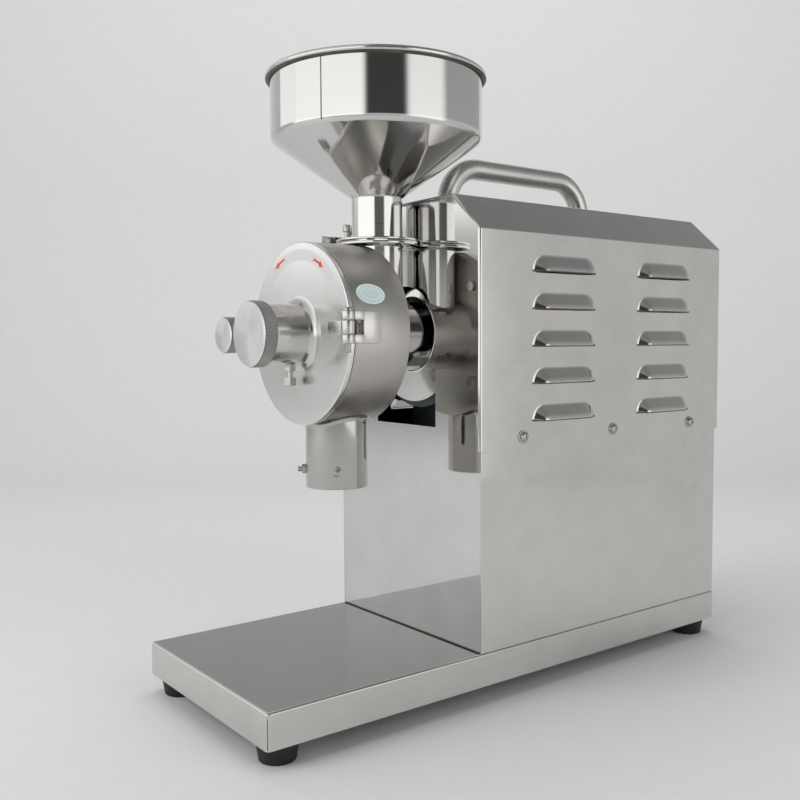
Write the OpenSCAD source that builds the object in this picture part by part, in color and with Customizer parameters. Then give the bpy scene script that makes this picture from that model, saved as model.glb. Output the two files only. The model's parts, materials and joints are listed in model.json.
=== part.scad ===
// Shop coffee grinder: a stainless burr mill on a long tray.
// X runs side to side, +Y to the rear and +Z up. The machine stands on its feet at Z = 0.
// The mill shaft lies along Y. Places along the machine are measured from the front plate's face,
// and heights above the tray, unless a comment says otherwise.

/* [Tray] */
// Tray length in front of the front plate
tray_front = 233; // [215:1:260]
// Tray length behind the rear panel
tray_tail = 2; // [1:0.5:8]
// Tray edge outside the cabinet's sides
tray_margin = 1; // [0.5:0.5:6]
// Height of the tray's skirt
tray_h = 32; // [26:1:45]
// Sheet thickness of the tray
tray_sheet = 1.5; // [1:0.1:2.5]
// Corner radius of the tray, seen from above
tray_corner_r = 4; // [2:0.5:8]

/* [Feet] */
// Height of a rubber foot
foot_h = 18; // [14:1:30]
// Diameter of a foot at its top
foot_top_d = 38; // [32:1:42]
// Diameter of a foot at the floor
foot_bottom_d = 32; // [26:1:38]
// Foot centre from the tray's edges
foot_inset = 22; // [21:1:30]
// Thread diameter of the foot screws
foot_screw_d = 6; // [5:0.5:8]
// Thickness of the plate above each foot
foot_plate_t = 2; // [1.5:0.5:4]

/* [Cabinet] */
// Width outside the lower side panels
cabinet_w = 233; // [210:1:260]
// Front plate's face to the rear panel's outer face
cabinet_len = 371; // [335:1:420]
// Roof above the shaft axis
roof_rise = 134; // [120:1:150]
// Roof height above the shoulder bends
shoulder_drop = 36; // [25:1:50]
// Width of each sloped shoulder
shoulder_run = 39.5; // [25:0.5:50]
// Sheet thickness of the hood and side panels
cabinet_sheet = 1.5; // [1:0.1:2.5]
// Outer radius of the sheet bends
bend_r = 3; // [2.6:0.1:5]
// Height of the hood's lower edge
hood_edge_h = 194; // [180:1:205]
// Depth of the side panels inside the hood
hood_overlap = 20; // [16:1:24]
// Hood reach past the rear panel
hood_overhang = 3; // [1:0.5:8]
// Hood reach in front of the front plate
hood_lip = 3; // [0:0.5:6]
// Thickness of the polished front plate
front_plate_t = 2; // [1.5:0.5:4]
// Thickness of the rear panel
rear_panel_t = 2; // [1.5:0.5:4]
// Radius of the arched window round the neck
window_r = 49; // [44:1:56]
// Window sill below the shaft axis
window_drop = 93; // [60:1:100]
// Depth of the folded feet of the sheets
sheet_foot = 14; // [12:1:20]

/* [Louvers] */
// Rows of louvers on each side
louver_rows = 5; // [2:1:5]
// Length of one louver
louver_len = 92; // [70:1:110]
// Height of one louver
louver_h = 17; // [12:0.5:20]
// How far a louver stands out
louver_out = 8; // [5:0.5:10]
// Lowest lip above the hood's edge
louver_lift = 25.3; // [25:0.1:32]
// Highest louver below the shoulder bend
louver_top_gap = 21.3; // [10:0.1:25]
// Front column behind the front plate's face
louver_front_gap = 66; // [50:1:75]
// Rear column to the hood's rear edge
louver_rear_gap = 57; // [50:1:65]

/* [Screws] */
// Thread diameter of the hood screws
hood_screw_d = 5; // [4:0.5:6]
// Hood screws above the hood's edge
hood_screw_lift = 11; // [9:0.5:12]
// First and last hood screw from the hood's ends
hood_screw_inset = 54; // [30:1:70]
// Thread diameter of the cabinet's foot screws
cabinet_screw_d = 4; // [3:0.5:5]

/* [Handle] */
// Tube diameter of the handle
handle_d = 22; // [18:0.5:25]
// Tube wall of the handle
handle_wall = 1.5; // [1:0.1:2.5]
// Distance between the handle's legs
handle_span = 206; // [180:1:230]
// Tube centre above the roof
handle_rise = 44; // [43:1:60]
// Centre line radius of the handle's bends
handle_bend_r = 41; // [25:1:41]
// Front leg's centre in front of the hopper's rear edge
handle_tuck = 13; // [2:1:17]
// Thread diameter of the handle bolts
handle_bolt_d = 8; // [6:1:10]

/* [Hopper] */
// Hopper axis in front of the front plate
hopper_axis = 34.5; // [34:0.5:45]
// Outside diameter of the hopper
hopper_d = 210; // [180:1:230]
// Sheet thickness of the hopper
hopper_wall = 1.2; // [0.8:0.1:2]
// Diameter of the rolled rim
rim_d = 6; // [4:0.5:9]
// Height of the hopper's straight wall
hopper_wall_h = 63; // [45:1:90]
// Height of the hopper's cone
cone_h = 56; // [50:1:70]
// Bend radius between the cone and the straight wall
cone_bend_r = 8; // [4:0.5:12]
// Cone's foot above the roof
cone_clear = 1; // [1:0.5:12]
// Outside diameter of the feed tube
feed_d = 50.8; // [46:0.1:54]
// Wall of the feed tube below the gate
feed_wall = 1.5; // [1:0.1:2.5]

/* [Feed gate] */
// Radius of the flanges above and below the gate
flange_r = 41; // [40:0.5:46]
// Thickness of the lower flange
chute_flange_t = 2.5; // [2:0.5:5]
// Thickness of the upper flange
hopper_flange_t = 4; // [3.5:0.5:6]
// Space between a flange and the front plate
flange_gap = 1; // [0.5:0.5:2]
// Thickness of the gate blade
gate_t = 1.5; // [1:0.1:1.8]
// Play above and below the gate blade
gate_play = 0.15; // [0.1:0.05:0.4]
// Width of the blade's tongue and tab
gate_tongue_w = 37; // [30:1:42]
// Gate tab from the hopper axis
gate_tab_x = 75; // [72:1:85]
// Height of the tab above the blade
gate_tab_h = 12.5; // [8:0.5:18]
// Reach of the flange tongues from the hopper axis
tongue_reach = 64; // [60:1:66]
// Lock screw from the hopper axis
gate_screw_x = 54; // [52:0.5:56]
// Thread diameter of the gate's lock screw
gate_screw_d = 5; // [4:0.5:6]
// Diameter of the lock screw's head
gate_screw_head_d = 9; // [7:0.5:12]
// Height of the lock screw's head
gate_screw_head_h = 7.5; // [5:0.5:12]
// Lock screw's neck between the flange and the head
gate_screw_neck = 13.5; // [4:0.5:16]

/* [Grinding head] */
// Shaft axis above the tray
shaft_h = 306; // [285:1:330]
// Lid face in front of the front plate
lid_reach = 127; // [124:0.5:140]
// Outside diameter of the drum and lid
drum_d = 174; // [166:1:190]
// Drum wall
drum_wall = 5; // [4.5:0.5:7]
// Drum back thickness
drum_back_t = 6; // [4:0.5:8]
// Lid thickness
lid_t = 5; // [4:0.5:8]
// Rounding of the lid's front edge
lid_edge_r = 1.5; // [0.5:0.1:2]
// Slit between the lid and the drum
lid_slit = 0.5; // [0.4:0.1:1]
// Width of the sealing ring in the drum's rim
seal_w = 2.4; // [1.6:0.1:2.8]
// Thickness of the sealing ring
seal_t = 2.6; // [2:0.1:4]
// Outside diameter of the neck between drum and motor
neck_d = 74; // [68:1:80]
// Wall of the neck
neck_wall = 6; // [5:0.5:7]
// Thread diameter of the drum's rear bolts
drum_bolt_d = 6; // [5:0.5:8]
// Drum bolts inside the drum's inner wall
drum_bolt_inset = 20; // [16:0.5:22]
// Angle of the drum bolts above and below the shaft
drum_bolt_angle = 53; // [40:1:60]
// Outside diameter of the outlet spout
spout_d = 60; // [48:0.5:60]
// Wall of the outlet spout
spout_wall = 1.5; // [1:0.1:2.5]
// Spout's axis to the right of the shaft
spout_offset = 8; // [0:0.5:12]
// Spout's lower end above the tray
spout_end_h = 158.5; // [140:0.5:180]
// Spout screws above its lower end
spout_screw_lift = 17; // [10:0.5:20]
// Angle of the first spout screw from +X
spout_screw_angle = -33; // [-60:1:0]
// Thread diameter of the spout screws
spout_screw_d = 5; // [4:0.5:6]

/* [Door] */
// Outside diameter of the sleeve on the lid
sleeve_d = 57; // [52:0.5:60]
// Bore at the sleeve's mouth, for the adjusting knob
sleeve_bore_d = 40; // [36:0.5:42]
// Length of the sleeve
sleeve_len = 39; // [34:0.5:48]
// Fillet between the sleeve and the lid
sleeve_fillet = 8; // [4:0.5:9]
// Hinge axis outside the drum's edge
hinge_out = 6; // [5:0.5:10]
// Hinge axis in front of the lid's face
hinge_lead = 7; // [6.5:0.5:10]
// Diameter of the hinge knuckles
knuckle_d = 12; // [10:0.5:13]
// Height of the door's knuckle
knuckle_h = 12; // [8:0.5:16]
// Height of each knuckle on the drum
drum_knuckle_h = 8; // [6:0.5:12]
// Middle of the hinge above the shaft axis
hinge_lift = 5; // [0:0.5:10]
// Diameter of the hinge pin
hinge_pin_d = 5; // [4:0.5:6]
// Clamp screw outside the drum's edge
clamp_out = 18; // [17:0.5:24]
// Width of the clamp lug on the lid
lug_w = 26; // [22:0.5:32]
// Thread diameter of the clamp screw
clamp_screw_d = 10; // [8:0.5:12]
// Clamp screw's hold in the boss on the drum
clamp_hold = 6; // [4:0.5:8]
// Diameter of the clamp knob
clamp_knob_d = 37.5; // [30:0.5:39]
// Thickness of the clamp knob
clamp_knob_t = 15; // [10:0.5:20]
// Thickness of the clamp's collar
clamp_collar_t = 3; // [2:0.5:5]
// Length of the clamp knob's shank
clamp_shank_len = 9; // [5:0.5:14]

/* [Adjuster] */
// Diameter of the adjusting knob
knob_d = 62; // [58:0.5:70]
// Thickness of the adjusting knob
knob_t = 15; // [12:0.5:20]
// Diameter of the adjusting spindle
spindle_d = 22; // [18:0.5:24]
// Spindle travel to the coarsest grind
coarse_travel = 4.5; // [3:0.1:5]
// Hub lock screw in front of the lid's face
hub_lock_set = 10.5; // [10:0.5:14]
// Thread diameter of the hub lock screw
hub_lock_d = 6; // [5:0.5:7]

/* [Burrs] */
// Diameter of the burrs
burr_d = 128; // [116:1:134]
// Thickness of each burr
burr_t = 10; // [8:0.5:10]
// Gap between the burrs at rest
burr_gap = 1; // [0.8:0.1:1.6]
// Eye of the turning burr, where the beans pass
burr_eye_d = 64; // [60:1:70]
// Grooves in each burr's face
burr_grooves = 24; // [12:1:32]
// Width of one groove
groove_w = 3; // [2:0.5:4]
// Depth of one groove
groove_depth = 2.5; // [1:0.5:4]
// Thickness of the fixed burr's carrier
carrier_t = 12; // [11:0.5:12.5]
// Thickness of the turning burr's disc
rotor_disc_t = 7; // [6:0.5:8]
// Height of the sweeping vanes behind that disc
vane_h = 4; // [3:0.5:5]
// Thickness of the wear plate on the drum's back
liner_t = 3; // [2:0.5:4]

/* [Motor] */
// Outside diameter of the motor
motor_d = 152; // [140:1:164]
// Length of the motor's shell
motor_len = 190; // [170:1:205]
// Wall of the motor's shell
motor_wall = 6; // [4:0.5:8]
// Thickness of the motor's end shields
shield_t = 12; // [10:0.5:16]
// Face of the neck's flange behind the front plate's face
motor_face = 10; // [9:0.5:14]
// Thickness of the neck's flange
neck_flange_t = 8; // [6:0.5:10]
// Shaft diameter in the neck
shaft_d = 24; // [22:0.5:26]
// Shaft diameter in the bearings
journal_d = 20; // [18:0.5:21]
// Outside diameter of the bearings
bearing_d = 47; // [42:0.5:50]
// Width of the bearings
bearing_w = 14; // [12:0.5:16]
// Length of the stator's iron
stator_len = 100; // [80:1:105]
// Diameter of the rotor's iron
rotor_d = 91; // [80:0.5:95]
// Diameter of the motor's fan
fan_d = 124; // [110:1:134]
// Diameter of the capacitors
capacitor_d = 40; // [32:1:46]
// Height of the capacitors
capacitor_h = 85; // [60:1:110]

/* [Switches] */
// Column of the switch and gland from the centre
switch_x = -62; // [-70:1:-50]
// Height of the switch's middle
switch_h = 150; // [140:1:165]
// Diameter of the start and stop buttons
button_d = 20; // [16:0.5:22]
// Middle to middle of the two buttons
button_pitch = 30; // [28:0.5:34]
// How far a button stands out of the bezel
button_out = 7; // [6:0.5:10]
// Height of the cable gland
gland_h = 60; // [45:1:80]
// Gland's reach behind the rear panel
gland_reach = 20; // [16:1:30]
// Bore of the gland
gland_bore_d = 9; // [7:0.5:10]

/* [Hidden] */
$fn = 96;

steel = "silver";
dark_steel = "gray";

// Clearances: static fits, running fits, running faces and bodies that pass each other
fit = 0.05;
run = 0.05;
face_gap = 0.3;
pass_gap = 1;
// Overshoot of cutting tools
eps = 1;

tray_w = cabinet_w + 2 * tray_margin;
tray_rear = cabinet_len + tray_tail;
tray_len = tray_front + tray_rear;
tray_top = foot_h + tray_h;
rear_reach = cabinet_len + gland_reach;
// The front plate's face is placed so that the machine is centred on the origin
plate_y = (tray_front - rear_reach) / 2;
tray_mid_y = (tray_rear - tray_front) / 2;

side_x = cabinet_w / 2;
inner_x = side_x - cabinet_sheet;
hood_x = side_x + cabinet_sheet;
ridge_x = hood_x - shoulder_run;
roof_h = shaft_h + roof_rise;
shoulder_h = roof_h - shoulder_drop;
hood_len = cabinet_len + hood_overhang;
side_panel_h = hood_edge_h + hood_overlap;
rear_inner_y = cabinet_len - rear_panel_t;
side_bend = atan2(shoulder_run, shoulder_drop);
roof_bend = 90 - side_bend;

louver_first_h = hood_edge_h + louver_lift;
louver_pitch = (shoulder_h - louver_top_gap - louver_h - louver_first_h) / max(1, louver_rows - 1);
louver_columns = [louver_front_gap + louver_len / 2, hood_len - louver_rear_gap - louver_len / 2];
// Each louver is part of a round bar sunk in the sheet, with round ends
louver_r = (louver_h * louver_h + louver_out * louver_out) / (2 * louver_out);
louver_straight = louver_len - 2 * louver_h;
hood_screw_h = hood_edge_h + hood_screw_lift;
hood_screw_rows = [hood_screw_inset, hood_len / 2, hood_len - hood_screw_inset];
washer_t = 1;

feed_r = feed_d / 2;
hopper_r = hopper_d / 2;
handle_front = hopper_r - hopper_axis - handle_tuck;
handle_rear = handle_front + handle_span;
handle_leg = handle_rise - handle_bend_r;
handle_r = handle_d / 2;

shaft_z = tray_top + shaft_h;
drum_r = drum_d / 2;
drum_in_r = drum_r - drum_wall;
lid_face_y = -lid_reach;
lid_back_y = lid_face_y + lid_t;
drum_front_y = lid_back_y + lid_slit;
drum_back_y = -(hopper_axis + feed_r + face_gap);
chamber_back_y = drum_back_y - drum_back_t;
liner_y = chamber_back_y - liner_t;
vane_y = liner_y - 2 * pass_gap;
disc_back_y = vane_y - vane_h;
disc_front_y = disc_back_y - rotor_disc_t;
turning_face_y = disc_front_y - burr_t;
fixed_face_y = turning_face_y - burr_gap;
carrier_back_y = fixed_face_y - burr_t;
carrier_front_y = carrier_back_y - carrier_t;
liner_r = drum_in_r - 4;
burr_r = burr_d / 2;
eye_r = burr_eye_d / 2;
neck_r = neck_d / 2;
neck_in_r = neck_r - neck_wall;
drum_bolt_r = drum_in_r - drum_bolt_inset;
drum_bolt_angles = [for (s = [0, 180], a = [-drum_bolt_angle, drum_bolt_angle]) s + a];
spindle_r = spindle_d / 2;
sleeve_r = sleeve_d / 2;
sleeve_bore_r = sleeve_bore_d / 2;
sleeve_front_y = lid_face_y - sleeve_len;
knob_back_y = sleeve_front_y - face_gap;
knob_face_y = knob_back_y - knob_t;
knob_web = 4;
knob_shank_y = knob_back_y + sleeve_len * 0.37;
spindle_end_y = knob_face_y + knob_web + coarse_travel + face_gap;
guide_pin_r = 4;
guide_pin_at = burr_r * 0.62;
guide_pin_end_y = carrier_back_y - coarse_travel - pass_gap;
burr_screw_at = burr_r * 0.72;
burr_screw_r = 2.5;
fixed_spigot_r = spindle_r + 2;
fixed_spigot_h = 4;
hub_lock_y = lid_face_y - hub_lock_set;
hub_nut_top = sleeve_r + 1;
hub_nut_h = 5.5;
hub_head_top = hub_nut_top + hub_nut_h + 6;
hub_head_h = 8;

hinge_x = drum_r + hinge_out;
hinge_y = lid_face_y - hinge_lead;
leaf_low = hinge_lift - knuckle_h / 2;
leaf_high = hinge_lift + knuckle_h / 2;
bracket_low = leaf_low - face_gap - drum_knuckle_h;
bracket_high = leaf_high + face_gap + drum_knuckle_h;
bracket_front_y = drum_front_y + 3;
bracket_len = 17;
arm_x0 = hinge_x - knuckle_d / 2 + 1;
hinge_head_h = 3;
hinge_tail = 8;

clamp_x = -(drum_r + clamp_out);
clamp_screw_r = clamp_screw_d / 2;
clamp_slack = 0.8;
boss_r = clamp_screw_r + clamp_slack + 5;
boss_len = 20;
collar_y = lid_face_y - face_gap;
clamp_shank_y = collar_y - clamp_collar_t;
clamp_head_y = clamp_shank_y - clamp_shank_len;
clamp_face_y = clamp_head_y - clamp_knob_t;
clamp_tip_y = drum_front_y + clamp_hold;
clamp_shank_r = clamp_screw_r + 4;

chute_flange_z = shaft_h + drum_r + lid_slit;
gate_seat_z = chute_flange_z + chute_flange_t;
gate_slot_h = gate_t + 2 * gate_play;
hopper_flange_top = gate_seat_z + hopper_flange_t;
cone_foot_z = roof_h + cone_clear;
cone_top_z = cone_foot_z + cone_h;
hopper_top_z = cone_top_z + hopper_wall_h;
cone_angle = atan2(cone_h, hopper_r - feed_r);
gate_w = feed_d - 2 * hopper_wall + 2;
gate_slot_w = gate_w + 0.6;
gate_end_x = feed_r + 0.6;
tongue_w = gate_tongue_w + 3;

spout_r = spout_d / 2;
spout_y = (drum_front_y + drum_back_y) / 2;
spout_screw_h = spout_end_h + spout_screw_lift;
spout_screw_angles = [for (i = [0:1]) spout_screw_angle - 90 * i];

motor_r = motor_d / 2;
shaft_r = shaft_d / 2;
journal_r = journal_d / 2;
bearing_r = bearing_d / 2;
neck_flange_r = motor_r - 6;
neck_bolt_r = 4;
neck_bolt_at = neck_flange_r - 10;
neck_rear_y = motor_face + neck_flange_t;
shell_y = neck_rear_y + shield_t;
shell_end_y = shell_y + motor_len;
shield_end_y = shell_end_y + shield_t;
bearing_set = 4;
bearing_end = 2;
front_bearing_y = shell_y + bearing_set;
rear_bearing_y = shell_end_y - bearing_end - bearing_w;
stator_y = shell_y + (motor_len - stator_len) / 2;
winding_len = 16;
seal_wall = 14;
seal_r = shaft_r + 8;
seal_y = motor_face - seal_wall;
shaft_tail = 30;
shaft_rear_y = shield_end_y + shaft_tail;
rotor_wall = 4;
rotor_bore_r = journal_r + rotor_wall;
fan_set = 8;
fan_y = shield_end_y + fan_set;
fan_len = 20;
fan_bore_r = journal_r - 1;
cowl_set = 4;
cowl_tail = 10;
cowl_y = shell_end_y + cowl_set;
cowl_end_y = shaft_rear_y + cowl_tail;
cowl_sheet = 1.2;
nut_t = 10;
thread_r = shaft_r - 4;
shaft_end_y = disc_front_y - nut_t - 1.5;

lead_r = 4;
lead_bend = 16;
switch_body_d = 43;
switch_front_y = rear_inner_y - switch_body_d;
bezel_t = 5;
bezel_y = cabinet_len + bezel_t;
bezel_w = button_d + 16;
bezel_h = button_pitch + button_d + 24;
switch_w = button_d + 10;
switch_body_h = button_pitch + button_d + 14;
button_r = button_d / 2;
button_bore = 7;
button_face_y = bezel_y + button_out;
gland_thread_r = gland_bore_d / 2 + 3.5;
gland_in = 10;
lead_y = cabinet_len - gland_in - 5 - lead_bend;
box_w = 40;
box_y = stator_y + stator_len / 2;
box_len = 70;
box_h = 40;
lead_h = shaft_h + sqrt(pow(motor_r, 2) - pow(switch_x, 2)) + 24;
capacitor_side_gap = 22;
capacitor_rear_gap = 110;
capacitor_x = side_x - capacitor_d / 2 - capacitor_side_gap;
capacitor_y = cabinet_len - capacitor_rear_gap;
stand_inset = 25;

// Moves to the front plate's face, at the tray's top
module at_plate() translate([0, plate_y, tray_top]) children();
// Turned parts: the child's Z axis becomes the shaft axis, pointing to the rear
module on_shaft() translate([0, plate_y, shaft_z]) rotate([-90, 0, 0]) children();
// An outline in X and Z, drawn from y0 to y1
module slab(y0, y1) translate([0, y1, 0]) rotate([90, 0, 0]) linear_extrude(y1 - y0) children();

module tube(r, bore, z0, z1) {
    translate([0, 0, z0]) difference() {
        cylinder(r = r, h = z1 - z0);
        translate([0, 0, -eps]) cylinder(r = bore, h = z1 - z0 + 2 * eps);
    }
}

module rod(r, z0, z1) translate([0, 0, z0]) cylinder(r = r, h = z1 - z0);

// A hexagon, measured across its flats
module hex(flats, h) cylinder(d = flats / cos(30), h = h, $fn = 6);

module rounded_rect(w, l, r) {
    square([w - 2 * r, l], center = true);
    square([w, l - 2 * r], center = true);
    for (x = [-1, 1], y = [-1, 1]) translate([x * (w / 2 - r), y * (l / 2 - r)]) circle(r);
}

function unit(v) = v / norm(v);

// Points of the arc that rounds corner b between a and c
function corner_arc(a, b, c, r, steps = 6) =
    let (u = unit(a - b), v = unit(c - b), half = acos(u * v) / 2,
        o = b + unit(u + v) * r / sin(half),
        p = b + u * r / tan(half) - o, q = b + v * r / tan(half) - o,
        start = atan2(p.y, p.x), turn = (atan2(q.y, q.x) - start + 540) % 360 - 180)
    [for (i = [0:steps]) o + r * [cos(start + turn * i / steps), sin(start + turn * i / steps)]];

// The hood's outline at a depth inside its outer face, from the right foot to the left one
function hood_line(depth, foot) =
    let (x = hood_x - depth, shoulder = [x, shoulder_h - depth * tan(side_bend / 2)],
        ridge = [ridge_x - depth * tan(roof_bend / 2), roof_h - depth], r = bend_r - depth,
        half = concat([[x, foot]], corner_arc([x, foot], shoulder, ridge, r),
            corner_arc(shoulder, ridge, [-ridge.x, ridge.y], r)))
    concat(half, [for (i = [len(half) - 1:-1:0]) [-half[i].x, half[i].y]]);

module foot_places() {
    for (x = [-1, 1], y = [-1, 1])
        translate([x * (tray_w / 2 - foot_inset), plate_y + tray_mid_y + y * (tray_len / 2 - foot_inset), 0])
            children();
}

fold_screw_x = 60;
// Screws that hold the sheets' folded feet to the tray: x, y and the thickness of the sheet
cabinet_screw_list = concat(
    [for (x = [-1, 1], y = hood_screw_rows) [x * (inner_x - sheet_foot * 0.6), y, cabinet_sheet]],
    [for (x = [-fold_screw_x, fold_screw_x]) [x, front_plate_t + sheet_foot * 0.6, front_plate_t]],
    [for (x = [-fold_screw_x, fold_screw_x]) [x, rear_inner_y - sheet_foot * 0.6, rear_panel_t]]);

module cabinet_screw_bores() {
    at_plate() for (p = cabinet_screw_list) translate([p.x, p.y, -tray_sheet - eps])
        cylinder(d = cabinet_screw_d + 2 * fit, h = tray_sheet + p.z + 2 * eps);
}

module base_tray() {
    pad = foot_inset + foot_top_d / 2;
    color(steel) difference() {
        union() {
            translate([0, plate_y + tray_mid_y, foot_h]) difference() {
                linear_extrude(tray_h) rounded_rect(tray_w, tray_len, tray_corner_r);
                translate([0, 0, -eps]) linear_extrude(tray_h - tray_sheet + eps)
                    rounded_rect(tray_w - 2 * tray_sheet, tray_len - 2 * tray_sheet,
                        tray_corner_r - tray_sheet);
            }
            intersection() {
                translate([0, plate_y + tray_mid_y, foot_h]) linear_extrude(foot_plate_t)
                    rounded_rect(tray_w, tray_len, tray_corner_r);
                foot_places() translate([-pad, -pad, foot_h]) cube([2 * pad, 2 * pad, foot_plate_t]);
            }
        }
        foot_places() translate([0, 0, foot_h - eps])
            cylinder(d = foot_screw_d + 2 * fit, h = foot_plate_t + 2 * eps);
        cabinet_screw_bores();
    }
}

foot_recess = foot_h / 2;
foot_head_h = foot_screw_d * 0.65;
foot_nut_h = foot_screw_d * 0.8;

module rubber_feet() {
    color("black") foot_places() difference() {
        cylinder(d1 = foot_bottom_d, d2 = foot_top_d, h = foot_h);
        translate([0, 0, -eps]) cylinder(d = foot_screw_d * 2.3, h = foot_recess + eps);
        translate([0, 0, -eps]) cylinder(d = foot_screw_d + 2 * fit, h = foot_h + 2 * eps);
    }
}

module foot_screws() {
    nut_z = foot_h + foot_plate_t;
    color(steel) foot_places() {
        rod(foot_screw_d, foot_recess - foot_head_h, foot_recess);
        rod(foot_screw_d / 2, foot_recess, nut_z + foot_nut_h + 1);
        translate([0, 0, nut_z]) difference() {
            hex(foot_screw_d * 1.65, foot_nut_h);
            translate([0, 0, -eps]) cylinder(d = foot_screw_d - 0.2, h = foot_nut_h + 2 * eps);
        }
    }
}

// The front plate's outline: between the side panels below, inside the hood above
module plate_outline() {
    foot = side_panel_h + face_gap;
    difference() {
        union() {
            polygon(hood_line(cabinet_sheet + fit, foot));
            translate([-inner_x + fit, 0]) square([2 * (inner_x - fit), foot + eps]);
        }
        children();
    }
}

module front_plate() {
    color("gainsboro") difference() {
        at_plate() {
            slab(0, front_plate_t) plate_outline() {
                translate([0, shaft_h]) circle(window_r);
                translate([-window_r, shaft_h - window_drop]) square([2 * window_r, window_drop]);
            }
            translate([-inner_x + sheet_foot + 4, 0, 0])
                cube([2 * (inner_x - sheet_foot - 4), front_plate_t + sheet_foot, front_plate_t]);
        }
        cabinet_screw_bores();
    }
}

module hood_screw_bores(side) {
    for (y = hood_screw_rows) translate([side * (inner_x - eps), y, hood_screw_h]) rotate([0, side * 90, 0])
        cylinder(d = hood_screw_d + 2 * fit, h = 2 * cabinet_sheet + 2 * eps);
}

module side_panel(side) {
    x0 = side > 0 ? inner_x : -side_x;
    foot_x = side > 0 ? inner_x - sheet_foot : -inner_x;
    difference() {
        at_plate() difference() {
            union() {
                translate([x0, 0, 0]) cube([cabinet_sheet, cabinet_len, side_panel_h]);
                translate([foot_x, front_plate_t + sheet_foot + 4, 0])
                    cube([sheet_foot, rear_inner_y - front_plate_t - 2 * sheet_foot - 8, cabinet_sheet]);
            }
            hood_screw_bores(side);
        }
        cabinet_screw_bores();
    }
}

module left_side_panel() color(steel) side_panel(-1);
module right_side_panel() color(steel) side_panel(1);

// The round bar behind one louver, with a bulge of its own radius and its lower lip at Z = 0
module louver_bar(r) {
    rotate([90, 0, 0]) translate([0, 0, -louver_straight / 2]) cylinder(r = r, h = louver_straight);
    for (y = [-1, 1]) translate([0, y * louver_straight / 2, 0]) sphere(r);
}

module louver_cut(r, drop) {
    intersection() {
        translate([louver_out - louver_r, 0, 0]) louver_bar(r);
        translate([-cabinet_sheet - eps, -louver_len, -drop])
            cube([louver_out + cabinet_sheet + 2 * eps, 2 * louver_len, louver_h + 2 * eps]);
    }
}

module louver_places() {
    for (side = [0, 1], y = louver_columns, row = [0:louver_rows - 1])
        mirror([side, 0, 0]) translate([hood_x, y, louver_first_h + row * louver_pitch]) children();
}

module top_hood() {
    color(steel) at_plate() difference() {
        union() {
            slab(-hood_lip, hood_len) polygon(concat(hood_line(0, hood_edge_h),
                [for (p = hood_line(cabinet_sheet, hood_edge_h)) [-p.x, p.y]]));
            louver_places() intersection() {
                louver_cut(louver_r, 0);
                translate([-cabinet_sheet / 2, -louver_len, -eps])
                    cube([louver_out + eps, 2 * louver_len, louver_h + eps]);
            }
        }
        louver_places() louver_cut(louver_r - cabinet_sheet, 0.4);
        for (side = [-1, 1]) hood_screw_bores(side);
        for (y = [handle_front, handle_rear]) translate([0, y, roof_h - cabinet_sheet - eps])
            cylinder(d = handle_bolt_d + 2 * fit, h = cabinet_sheet + 2 * eps);
    }
}

vent_w = 110;
vent_gap = 4;
vent_rows = 7;
vent_pitch = 17;

module rear_panel() {
    color(steel) difference() {
        at_plate() {
            difference() {
                slab(rear_inner_y, cabinet_len) plate_outline() {
                    for (row = [0:vent_rows - 1])
                        translate([0, shaft_h + (row - (vent_rows - 1) / 2) * vent_pitch])
                            rounded_rect(vent_w, vent_gap, vent_gap / 2 - fit);
                    translate([switch_x, switch_h]) square([switch_w, switch_body_h], center = true);
                    translate([switch_x, gland_h]) circle(gland_thread_r + fit);
                }
            }
            translate([-inner_x + sheet_foot + 4, rear_inner_y - sheet_foot, 0])
                cube([2 * (inner_x - sheet_foot - 4), sheet_foot + rear_panel_t, rear_panel_t]);
        }
        cabinet_screw_bores();
    }
}

module hood_screws() {
    head_h = hood_screw_d * 0.6;
    color(steel) at_plate() for (side = [-1, 1], y = hood_screw_rows)
        translate([side * hood_x, y, hood_screw_h]) rotate([0, side * 90, 0]) {
            rod(hood_screw_d / 2, -2 * cabinet_sheet - 5, washer_t);
            rod(hood_screw_d * 1.3, 0, washer_t);
            translate([0, 0, washer_t]) intersection() {
                cylinder(d = hood_screw_d * 1.9, h = head_h);
                translate([0, 0, head_h - hood_screw_d * 1.6]) sphere(hood_screw_d * 1.6);
            }
        }
}

module cabinet_screws() {
    color(steel) at_plate() for (p = cabinet_screw_list) translate([p.x, p.y, 0]) {
        rod(cabinet_screw_d / 2, -tray_sheet - 4, p.z + face_gap);
        rod(cabinet_screw_d, p.z, p.z + cabinet_screw_d * 0.6);
    }
}

module handle_sweep(r) {
    for (y = [handle_front, handle_rear]) translate([0, y, roof_h]) cylinder(r = r, h = handle_leg);
    for (end = [0, 1]) translate([0, end ? handle_rear - handle_bend_r : handle_front + handle_bend_r,
        roof_h + handle_leg]) rotate([0, 0, end ? 0 : 180]) rotate([0, -90, 0])
            rotate_extrude(angle = 90) translate([handle_bend_r, 0]) circle(r);
    translate([0, handle_front + handle_bend_r, roof_h + handle_rise]) rotate([-90, 0, 0])
        cylinder(r = r, h = handle_span - 2 * handle_bend_r);
}

module carry_handle() {
    color("lightgray") at_plate() difference() {
        handle_sweep(handle_r);
        handle_sweep(handle_r - handle_wall);
    }
    color("lightgray") at_plate() for (y = [handle_front, handle_rear]) translate([0, y, roof_h])
        tube(handle_r - handle_wall / 2, handle_bolt_d / 2 + fit, 0, handle_leg - fit);
}

module handle_bolts() {
    head_h = handle_bolt_d * 0.65;
    under = -cabinet_sheet;
    color(steel) at_plate() for (y = [handle_front, handle_rear]) translate([0, y, roof_h]) {
        rod(handle_bolt_d / 2, under, handle_leg - face_gap);
        translate([0, 0, under - head_h]) hex(handle_bolt_d * 1.6, head_h);
    }
}

module at_feed(z) at_plate() translate([0, -hopper_axis, z]) children();

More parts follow.
